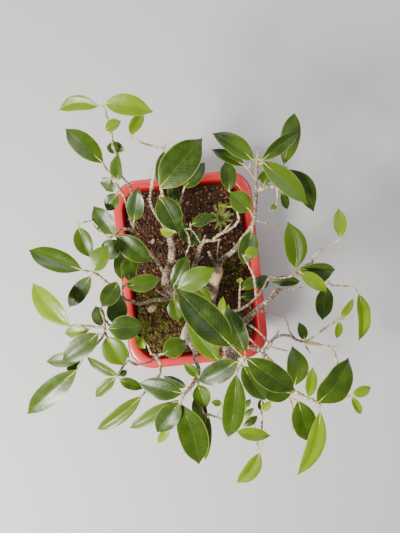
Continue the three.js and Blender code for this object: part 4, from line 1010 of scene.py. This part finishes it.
leafy("spray_west_inner_low", [
    [(104.8, 332, 120, 1.1), (106.5, 336, 116, 1), (109, 339, 111, 0.9)],
], [
    ("fresh", (106.5, 337, 115), (124, 366, 106), 25, 0, 7),
    ("grown", (111, 340, 108), (129, 358, 97), 12, 0, 5),
])
leafy("spray_south_west", [
    [(137, 365, 89, 1.6), (128, 361, 97, 1.4), (122, 368, 101, 1.2), (118, 374.5, 107, 1)],
], [
    ("fresh", (117.5, 375.5, 109), (86.5, 357, 104), 11, 15, 18),
    ("fresh", (115.5, 377.5, 107), (95, 397.5, 100), 12, -10, 14),
    ("grown", (119.5, 379.5, 104), (143, 389, 97), 11, 8, 7),
    ("grown", (120, 376, 104), (127, 370.5, 101), 7, 0, 6),
])
leafy("spray_south_hanging", [
    [(156, 356.5, 74, 1.8), (160.5, 364, 82, 1.6), (160, 374, 92, 1.5), (155, 381, 99, 1.3),
     (147, 390, 106, 1.2), (142.5, 395, 111, 1)],
], [
    ("fresh", (141.5, 396.5, 113), (95.5, 431, 105), 16, 0, 12),
])
leafy("spray_south", [
    [(196.5, 378.5, 112, 2.1), (191, 387, 118, 1.8), (184, 395, 124, 1.6), (181, 401, 127, 1.2)],
], [
    ("grown", (182.5, 393.5, 129), (139, 383, 124), 22, 0, 6),
    ("grown", (179.5, 402, 124), (156.5, 433, 114), 22, 0, 7),
    ("grown", (181.5, 405, 121), (199, 465, 102), 29, 0, 7, -0.03),
    ("fresh", (172, 402, 113), (128.5, 429, 105), 14, -8, 12),
    ("young", (170, 424, 104), (157.5, 444, 97), 9, 0, 6),
    ("grown", (186, 387, 112), (163, 376, 107), 10, 0, 5),
    ("fresh", (198.5, 376.5, 116), (183.5, 363, 119), 10, 0, 10),
])
leafy("spray_south_low", [
    [(198, 376, 109, 1.3), (198, 390, 102, 1.2), (200, 404, 101, 1.2), (204, 414, 101, 1.1),
     (212, 415.5, 102, 1.1), (221, 419, 103, 1), (232, 425, 103, 0.9), (243, 423, 104, 0.8),
     (249, 418, 105, 0.7)],
], [
    ("fresh", (198, 385, 107), (206.5, 408.5, 110), 18, 0, 7),
    ("grown", (196, 396, 98), (203, 427, 88), 15, 0, 5),
    ("fresh", (206, 416, 99), (204.5, 441, 90), 10, 0, 5),
    ("fresh", (209, 417, 97), (205.5, 461, 76), 10, 0, 5),
    ("fresh", (222, 404, 106), (211, 402, 107), 7, 0, 6),
    ("grown", (244, 408, 107), (251, 399, 109), 6, 0, 5),
    ("fresh", (244.5, 416, 108), (254, 408, 110), 6, 0, 6),
    ("grown", (244, 426, 99), (258, 416, 98), 8, 0, 5),
    ("young", (237, 432, 99), (271, 436, 95), 12, 16, 14),
])
leafy("spray_apex", [
    [(239.5, 360, 186, 2.6), (242.5, 359.5, 192, 2.1), (244, 358, 196, 1.4)],
    [(242, 360, 191, 1.3), (239.5, 366, 189, 1), (237, 373, 184, 0.9)],
], [
    ("grown", (232, 346, 203), (176, 288, 208), 33, -8, 9),
    ("grown", (245.5, 353, 193), (226, 306, 187), 21, 4, 8),
    ("grown", (238, 361.5, 190), (197.5, 382.5, 176), 23, 0, 10),
    ("grown", (236.5, 374, 181), (228, 440, 158), 23, 0, 6),
    ("grown", (242.5, 366, 188), (265.5, 401, 170), 21, 0, 6),
    ("grown", (246.5, 358.5, 194), (295.5, 391, 182), 27, 0, 6),
])
leafy("spray_south_east", [
    [(289.5, 384, 118, 1.8), (294, 391, 122, 1.7), (298, 393, 124, 1.6), (305, 397, 126, 1.6),
     (314, 401, 128, 1.5), (319, 404, 129, 1.3)],
    [(316, 402.5, 128, 1.2), (334, 402, 119, 1), (352, 395.5, 121, 0.8)],
    [(293.5, 390.5, 121, 1.1), (290, 398, 115, 1), (293, 408, 109, 0.9), (293, 429, 101, 1.2)],
], [
    ("grown", (292.5, 393, 126), (258, 390, 133), 21, 0, 7),
    ("grown", (294.5, 386, 127), (292.5, 346, 121), 22, 0, 10, 0.08),
    ("young", (309, 397.5, 129), (313, 367, 124), 12, 0, 12),
    ("grown", (298, 401, 119), (311, 443, 104), 25, 0, 5),
    ("grown", (317.5, 403, 133), (349.5, 358, 130), 31, -10, 9, 0.07),
    ("young", (320.5, 411, 127), (297.5, 477, 108), 19, 8, 8, -0.05),
    ("young", (353, 394.5, 123), (371.5, 387, 121), 11, 0, 16),
    ("young", (352, 396.5, 121), (361.5, 415, 113), 8, 0, 16),
])
leafy("spray_south_east_hanging", [
    [(262, 352, 99, 1.4), (266, 367, 95, 1.2), (264, 385, 92, 1.1), (262, 402, 91, 1), (262, 425, 89, 0.9),
     (262.5, 443, 87, 0.9), (260, 453, 87, 0.8)],
], [
    ("young", (260, 453, 87), (236.5, 484, 78), 17, 8, 10, -0.07),
    ("young", (263, 411, 92), (271, 401, 96), 8, 0, 8),
    ("grown", (261, 411, 88), (261, 399, 84), 7, 0, 5),
])
leafy("spray_east_low", [
    [(304, 342, 118, 1.7), (318, 344.5, 121, 1.5), (329, 347.5, 124, 1.4), (334, 352, 125, 1.2),
     (337, 362, 127, 1.1), (340, 370, 128, 0.9)],
    [(327, 347, 123.5, 1.1), (335.5, 346.5, 126, 0.8)],
    [(306, 342.5, 118.5, 1.4), (313, 337.5, 122, 1.2), (325, 328.5, 128, 1.1), (338, 319.5, 134, 1),
     (350, 317.5, 137, 0.6)],
    [(307, 343, 118, 1), (306, 347, 114, 0.8), (309, 351, 112, 0.6)],
], [
    ("young", (341, 317.5, 136), (354, 298.5, 132), 8, 0, 12),
    ("young", (339.5, 321.5, 132), (337, 339, 126), 8, 0, 10),
    ("grown", (305, 340, 122), (299, 322, 126), 10, 0, 5),
])
leafy("spray_east", [
    [(290, 276.8, 107, 1.5), (295, 272, 111, 1.3), (299, 269, 113, 1.2), (306, 265, 115, 1.1),
     (312, 263, 116, 1.1), (313.5, 256.5, 118, 1.1), (320, 251, 121, 1), (328, 245.5, 124, 0.9),
     (338.5, 240, 128, 0.8)],
    [(295, 272, 111, 1.2), (303, 277, 107, 1.1), (315, 279.5, 105, 1), (327, 281, 105, 1),
     (333, 285.5, 106, 1), (345, 286, 106, 0.9), (355, 287, 105, 0.8), (358, 292.5, 104, 0.7)],
], [
    ("fresh", (296.5, 268.5, 115), (288, 221.5, 121), 22, 10, 9, 0.05),
    ("young", (341, 237.5, 129), (339, 208, 124), 13, 8, 12),
    ("grown", (300, 268.5, 115), (335.5, 269.5, 112), 20, -30, 26),
    ("young", (301, 272.5, 122), (327.5, 291.5, 119), 14, 0, 12),
    ("grown", (326, 286, 103), (322.5, 320.5, 94), 18, 0, 6),
    ("grown", (300, 281.5, 103), (270, 281.5, 97), 11, 0, 6),
    ("young", (359, 294, 103), (359.5, 342, 92), 14.5, 8, 16, -0.06),
])
leafy("spray_north_east_low", [
    [(254, 219, 92, 1.6), (252.5, 214, 98, 1.2), (251, 212, 101, 1)],
    [(251, 212, 101, 1), (245, 206, 98, 0.9), (238, 199, 96, 0.8), (230, 192, 97, 0.8)],
], [
    ("fresh", (250.5, 211, 103), (230, 192, 106), 21, 0, 8),
    ("grown", (229.5, 190.5, 99), (226, 160, 103), 17, 0, 8),
])
leafy("spray_north_east_under", [
    [(252, 225, 88, 1.4), (252.5, 229, 87, 1.1)],
], [
    ("grown", (252, 231, 86), (243.5, 265, 74), 20, 0, 6),
])
leafy("spray_middle_east", [
    [(256, 296.5, 92, 1.3), (255.5, 288, 97, 1.2), (254, 277, 102, 1.1), (249, 266, 107, 1),
     (244, 257, 111, 0.9)],
], [
    ("young", (244, 256, 112), (259.5, 249.5, 109), 11, 8, 14),
    ("grown", (257.5, 289, 90), (267, 275, 84), 13, 0, 5),
])
leafy("spray_middle", [
    [(239.5, 309, 84, 1.3), (239.5, 297, 91, 1.1), (240, 290, 95, 1), (240.5, 282, 99, 0.8)],
], [
    ("young", (240.5, 283, 100), (240, 277.5, 102), 6, 0, 8),
    ("fresh", (242, 289.5, 95), (258, 277, 92), 11, 0, 6),
    ("grown", (241.5, 297, 89), (257, 296, 80), 9, 0, 5),
])
leafy("spray_north_east_tip", [
    [(256, 181, 123, 2.2), (256.5, 170, 130, 1.7), (257, 163, 136, 1.4), (257.5, 154, 143, 0.7)],
    [(257, 163, 136, 1.3), (264, 163.5, 136, 1.1), (274, 165.5, 136, 1), (285, 167, 136, 1)],
    [(255.5, 179, 124, 1.2), (250, 171, 127, 1), (246, 166.5, 129, 0.9)],
    [(249, 170, 127.5, 0.9), (250, 163.5, 131, 0.7)],
], [
    ("grown", (254, 160, 141), (212, 132, 135), 20, -8, 10),
    ("grown", (245, 165.5, 129), (211, 149, 124), 12, 0, 7),
    ("grown", (261.5, 160, 142), (299.5, 131, 140), 14, -18, 18),
    ("grown", (284, 164, 134), (295, 111.5, 121), 20, 0, 8),
    ("fresh", (262, 161.5, 141), (308, 204, 133), 22, 8, 8),
    ("grown", (286.5, 169, 132), (314, 212, 118), 21, 0, 6, -0.07),
])
leafy("spray_north_east_side", [
    [(256, 192, 113.7, 1.4), (262, 188, 117, 2.2), (268, 186.5, 119, 2.1), (275, 186.5, 119, 1.9),
     (283, 189, 119, 1.4)],
    [(277, 187.3, 119, 1), (277.5, 197, 114, 0.8), (277, 203, 111, 0.7)],
], [
    ("grown", (282, 191, 117), (287.5, 209.5, 106), 9, 0, 5),
    ("fresh", (276.5, 203.5, 110), (270, 211.5, 107), 6, 0, 8),
    ("grown", (264, 185, 121), (267, 169, 124), 13, 0, 5),
])
leafy("spray_fork", [
    [(213, 239.5, 79, 1.7), (220, 234, 83, 1.5), (229, 230, 86, 1.4), (235, 225.5, 89, 1.3),
     (239, 219.5, 92, 1.2), (237.5, 212, 96, 1.1), (235, 206.5, 99, 1), (227, 206.5, 102, 0.7)],
    [(222, 233, 83.5, 1), (229, 225.5, 88, 0.7)],
], [
    ("young", (229, 207, 102), (219, 205, 104), 4, 0, 8),
])
leafy("spray_fork_left", [
    [(191, 229, 84, 1), (190.5, 226, 86, 0.9)],
    [(191, 228.5, 84, 1.1), (185, 229, 82, 1), (188.5, 235, 79, 1), (190, 244, 76, 0.9),
     (186.5, 253, 74, 0.8)],
], [
    ("grown", (191, 225, 86), (214.5, 215, 83), 12, 0, 6),
    ("grown", (188.5, 242, 74), (180, 221, 80), 13, 0, 6),
    ("grown", (193, 246, 72), (199, 229, 62), 9, 0, 5),
])
leafy("spray_crown_middle", [
    [(175, 293, 47, 2.4), (175.5, 291, 62, 1.8), (175.5, 290.5, 75, 1.4)],
    [(175.2, 291.5, 58, 1.2), (186, 288.5, 57, 1), (197, 286.5, 58, 0.8)],
], [
    ("fresh", (178, 288, 79), (214.5, 268, 89), 22, 0, 9),
    ("grown", (173.5, 286.5, 77), (188, 255, 86), 17, 4, 10),
    ("fresh", (174, 298, 74), (178, 321, 67), 17, 0, 5),
    ("fresh", (198, 287, 58), (209.5, 306, 52), 14, 0, 5),
])
leafy("spray_south_west_inner", [
    [(158, 355.5, 70, 1.5), (160.5, 354.5, 78, 1.2), (162, 354, 80, 1)],
], [
    ("grown", (163, 354, 81), (186, 341, 75), 20, 0, 5),
])
leafy("spray_south_west_twig", [
    [(155, 355, 74, 1.4), (151, 354, 79, 1.1), (147.5, 345, 85, 1), (140, 338.5, 90, 0.9)],
], [
    ("young", (137, 337, 92), (145, 349, 95), 9, 0, 8),
])
leafy("spray_leader_shoot", [
    [(216, 330, 92, 1.4), (220, 324, 98, 1.1), (222, 318, 101, 0.9)],
], [
    ("young", (221.5, 317, 102), (223, 296.5, 106), 8, 0, 8),
    ("young", (225, 316, 100), (228.5, 304, 103), 5, 0, 8),
])
leafy("spray_leader_low", [
    [(229, 351, 149, 1.4), (225, 357, 151, 1.1), (221, 360.5, 152, 0.9)],
], [
    ("fresh", (219, 360, 152), (187, 322, 146), 19, 0, 5),
    ("grown", (223.5, 360, 148), (211, 352, 139), 10, 0, 5),
])


# The seedling: a soft, feathery weed that came up by itself near the pot's far right corner.
# Its fronds are thin stems that bend outwards, each with two rows of small leaflets.
SEEDLING_FOOT = (221, 219, -11)
FROND_TIPS = [
    (219, 203, 8), (229, 212, 10), (212, 213, 6), (215, 229, 8), (227, 228, 6), (223, 207, 14), (232, 221, 5),
    (211, 221, 7), (220, 231, 5), (226, 204, 7), (233, 214, 3), (214, 206, 4),
]
LEAFLET_PAIRS = 9
LEAFLET_SLIMNESS = 0.32
LEAFLET_THICKNESS = 0.22 * MM
FROND_RADII = (0.4, 0.3, 0.12)
FROND_GREENS = [(0.0, (0.26, 0.33, 0.05)), (0.6, (0.46, 0.52, 0.11)), (1.0, (0.68, 0.66, 0.26))]
pick_nothing()
bpy.ops.mesh.primitive_circle_add(vertices=6, radius=1, fill_type="NGON")
edit_all()
bpy.ops.mesh.poke()
bpy.ops.transform.resize(value=(LEAFLET_SLIMNESS, 1, 1))
bpy.ops.transform.translate(value=(0, 1, 0))
bpy.ops.object.mode_set(mode="OBJECT")
leaflet_points, leaflet_faces = shape_of(bpy.context.object)
draw = random.Random(33)
foot = place(*SEEDLING_FOOT)
rows, copies, tones = [[(foot - Vector((0, 0, 5 * MM)), 0.8), (foot + Vector((0, 0, 6 * MM)), 0.6)]], [], []
for end in FROND_TIPS:
    tip = place(*end)
    start = foot + Vector((0, 0, 1 * MM))
    middle = foot.lerp(tip, 0.5) + Vector((0, 0, 5 * MM))
    rows.append(list(zip((start, middle, tip), FROND_RADII)))
    heading = math.atan2(tip.y - foot.y, tip.x - foot.x) - math.pi / 2
    for k in range(LEAFLET_PAIRS):
        share = 0.25 + 0.75 * k / (LEAFLET_PAIRS - 1)
        at = start.lerp(middle, share).lerp(middle.lerp(tip, share), share)
        for lean in (-1, 1):
            angle = heading + lean * draw.uniform(0.7, 1.1)
            size = (1.15 - 0.55 * share) * draw.uniform(1.3, 1.8) * MM
            c, s = math.cos(angle) * size, math.sin(angle) * size
            lift = draw.uniform(-0.1, 0.45) * size
            copies.append((tuple(at), np.array([[c, -s, 0], [s, c, 0], [0, lift, size]])))
            tones.append(draw.random())
fronds = scattered("seedling_fronds", leaflet_points, leaflet_faces, copies, tones)
modified(fronds, "SOLIDIFY", thickness=LEAFLET_THICKNESS, offset=0)
stalks = stems("seedling_stalks", rows, 8, 6)
feather = Finish("seedling_green")
mottle = feather.clouds(feather.place(), 400.0)
green = feather.surface(
    Base_Color=feather.shade(feather.ramp(feather.attribute("tone"), *FROND_GREENS), 0.75 + mottle * 0.4),
    Roughness=0.55,
    Normal=feather.relief(mottle, 0.3, 0.0003),
)
fronds.data.materials.append(green)
stalks.data.materials.append(green)
seedling = joined(fronds, stalks)
seedling.name = "seedling_feathery"
bpy.ops.object.shade_smooth_by_angle(angle=math.radians(40))
belongs(seedling, "seedling", "seedling")


# The moss: low green tufts on the damp soil, thickest near the left corner and in the shade of the limbs.
# One blade is modelled, and leaning copies of it stand in threes, close together, where the moss grows.
# Each patch as its place across and down on the grid, how far it spreads, and how many tufts are tried there
MOSS_PATCHES = [
    (150, 322, 28, 2300), (158, 300, 14, 420), (250, 280, 20, 420), (228, 270, 12, 140), (172, 338, 16, 620),
]
MOSS_MARGIN = 3 * MM
MOSS_CLUMPS = (1, 130, 8.8)
MOSS_BARE = -0.05
BLADES_IN_TUFT = 3
MOSS_GREENS = [(0.0, (0.036, 0.046, 0.005)), (0.5, (0.150, 0.155, 0.012)), (1.0, (0.44, 0.38, 0.070))]
pick_nothing()
bpy.ops.mesh.primitive_cone_add(
    vertices=3, radius1=0.34, radius2=0.02, depth=2, location=(0, 0, 1), end_fill_type="NOTHING")
edit_all()
bpy.ops.mesh.quads_convert_to_tris()
bpy.ops.object.mode_set(mode="OBJECT")
settle(bpy.context.object)
moss_points, moss_faces = shape_of(bpy.context.object)
draw = random.Random(12)
room = (POT_HALF_WIDTH - SOIL_INSET - MOSS_MARGIN, POT_HALF_LENGTH - SOIL_INSET - MOSS_MARGIN)
copies, tones = [], []
for across, down, spread, count in MOSS_PATCHES:
    for _ in range(count):
        at = place(draw.gauss(across, spread / 2), draw.gauss(down, spread / 2), -10)
        inside = abs(at.x) < room[0] and abs(at.y) < room[1]
        if not inside or rough(at.x, at.y, *MOSS_CLUMPS) < MOSS_BARE:
            continue
        at.z = soil_height(at.x, at.y) + 0.2 * MM
        tall = draw.uniform(1.6, 3.6) * MM
        wide = tall * draw.uniform(0.5, 0.9)
        for _ in range(BLADES_IN_TUFT):
            lean = [draw.uniform(-0.7, 0.7) * tall for _ in range(2)]
            copies.append((tuple(at), np.array([[wide, 0, lean[0]], [0, wide, lean[1]], [0, 0, tall * 0.8]])))
            tones.append(draw.random())
moss = scattered("soil_moss", moss_points, moss_faces, copies, tones)
velvet = Finish("moss_green")
mottle = velvet.clouds(velvet.place(), 260.0)
moss.data.materials.append(velvet.surface(
    Base_Color=velvet.shade(velvet.ramp(velvet.attribute("tone"), *MOSS_GREENS), 0.6 + mottle * 0.7),
    Roughness=0.85,
    Normal=velvet.relief(mottle, 0.3, 0.0004),
))
belongs(moss, "soil")


# The pale floor that the pot stands on, three soft lamps round it, and a faint warm light from all sides.
# The camera looks straight down from above the middle of the view, turned a little against the pot.
FLOOR_SIZE = 8
FLOOR_DROP = 0.2 * MM
LENS = 27.0
SENSOR = 36
WARM, COOL = (1, 0.97, 0.92), (0.93, 0.96, 1)
pick_nothing()
bpy.ops.mesh.primitive_plane_add(size=FLOOR_SIZE, location=(0, 0, -FLOOR_DROP))
floor = bpy.context.object
floor.name = "floor"
paper = Finish("pale_floor")
floor.data.materials.append(paper.surface(Base_Color=(0.62, 0.62, 0.62), Roughness=0.8))


def softbox(name, at, size, power, colour):
    bpy.ops.object.light_add(type="AREA", location=at)
    lamp = bpy.context.object
    lamp.name = name
    lamp.data.shape = "RECTANGLE"
    lamp.data.size, lamp.data.size_y = size
    lamp.data.energy = power
    lamp.data.color = colour
    lamp.rotation_euler = (Vector((0, 0, 0.15)) - Vector(at)).to_track_quat("-Z", "Y").to_euler()


softbox("key", (-0.85, -0.55, 1.05), (0.34, 0.34), 43, WARM)
softbox("fill", (1.1, 0.5, 1.2), (0.9, 0.9), 7, COOL)
softbox("back", (-0.3, 1.2, 1.0), (0.9, 0.5), 9, COOL)
world = bpy.data.worlds.new("studio")
world.use_nodes = True
sky = world.node_tree.nodes["Background"].inputs
sky["Color"].default_value = (1, 0.97, 0.93, 1)
sky["Strength"].default_value = 0.25
bpy.context.scene.world = world

eye = place(*EYE_FOOT, 0) + Vector((0, 0, EYE_ABOVE_RIM * MM))
bpy.ops.object.camera_add(location=eye, rotation=(0, 0, -POT_TURN))
camera = bpy.context.object
camera.data.lens = LENS
camera.data.sensor_width = SENSOR
camera.data.clip_start = 0.01
camera.data.dof.use_dof = False
bpy.context.scene.camera = camera
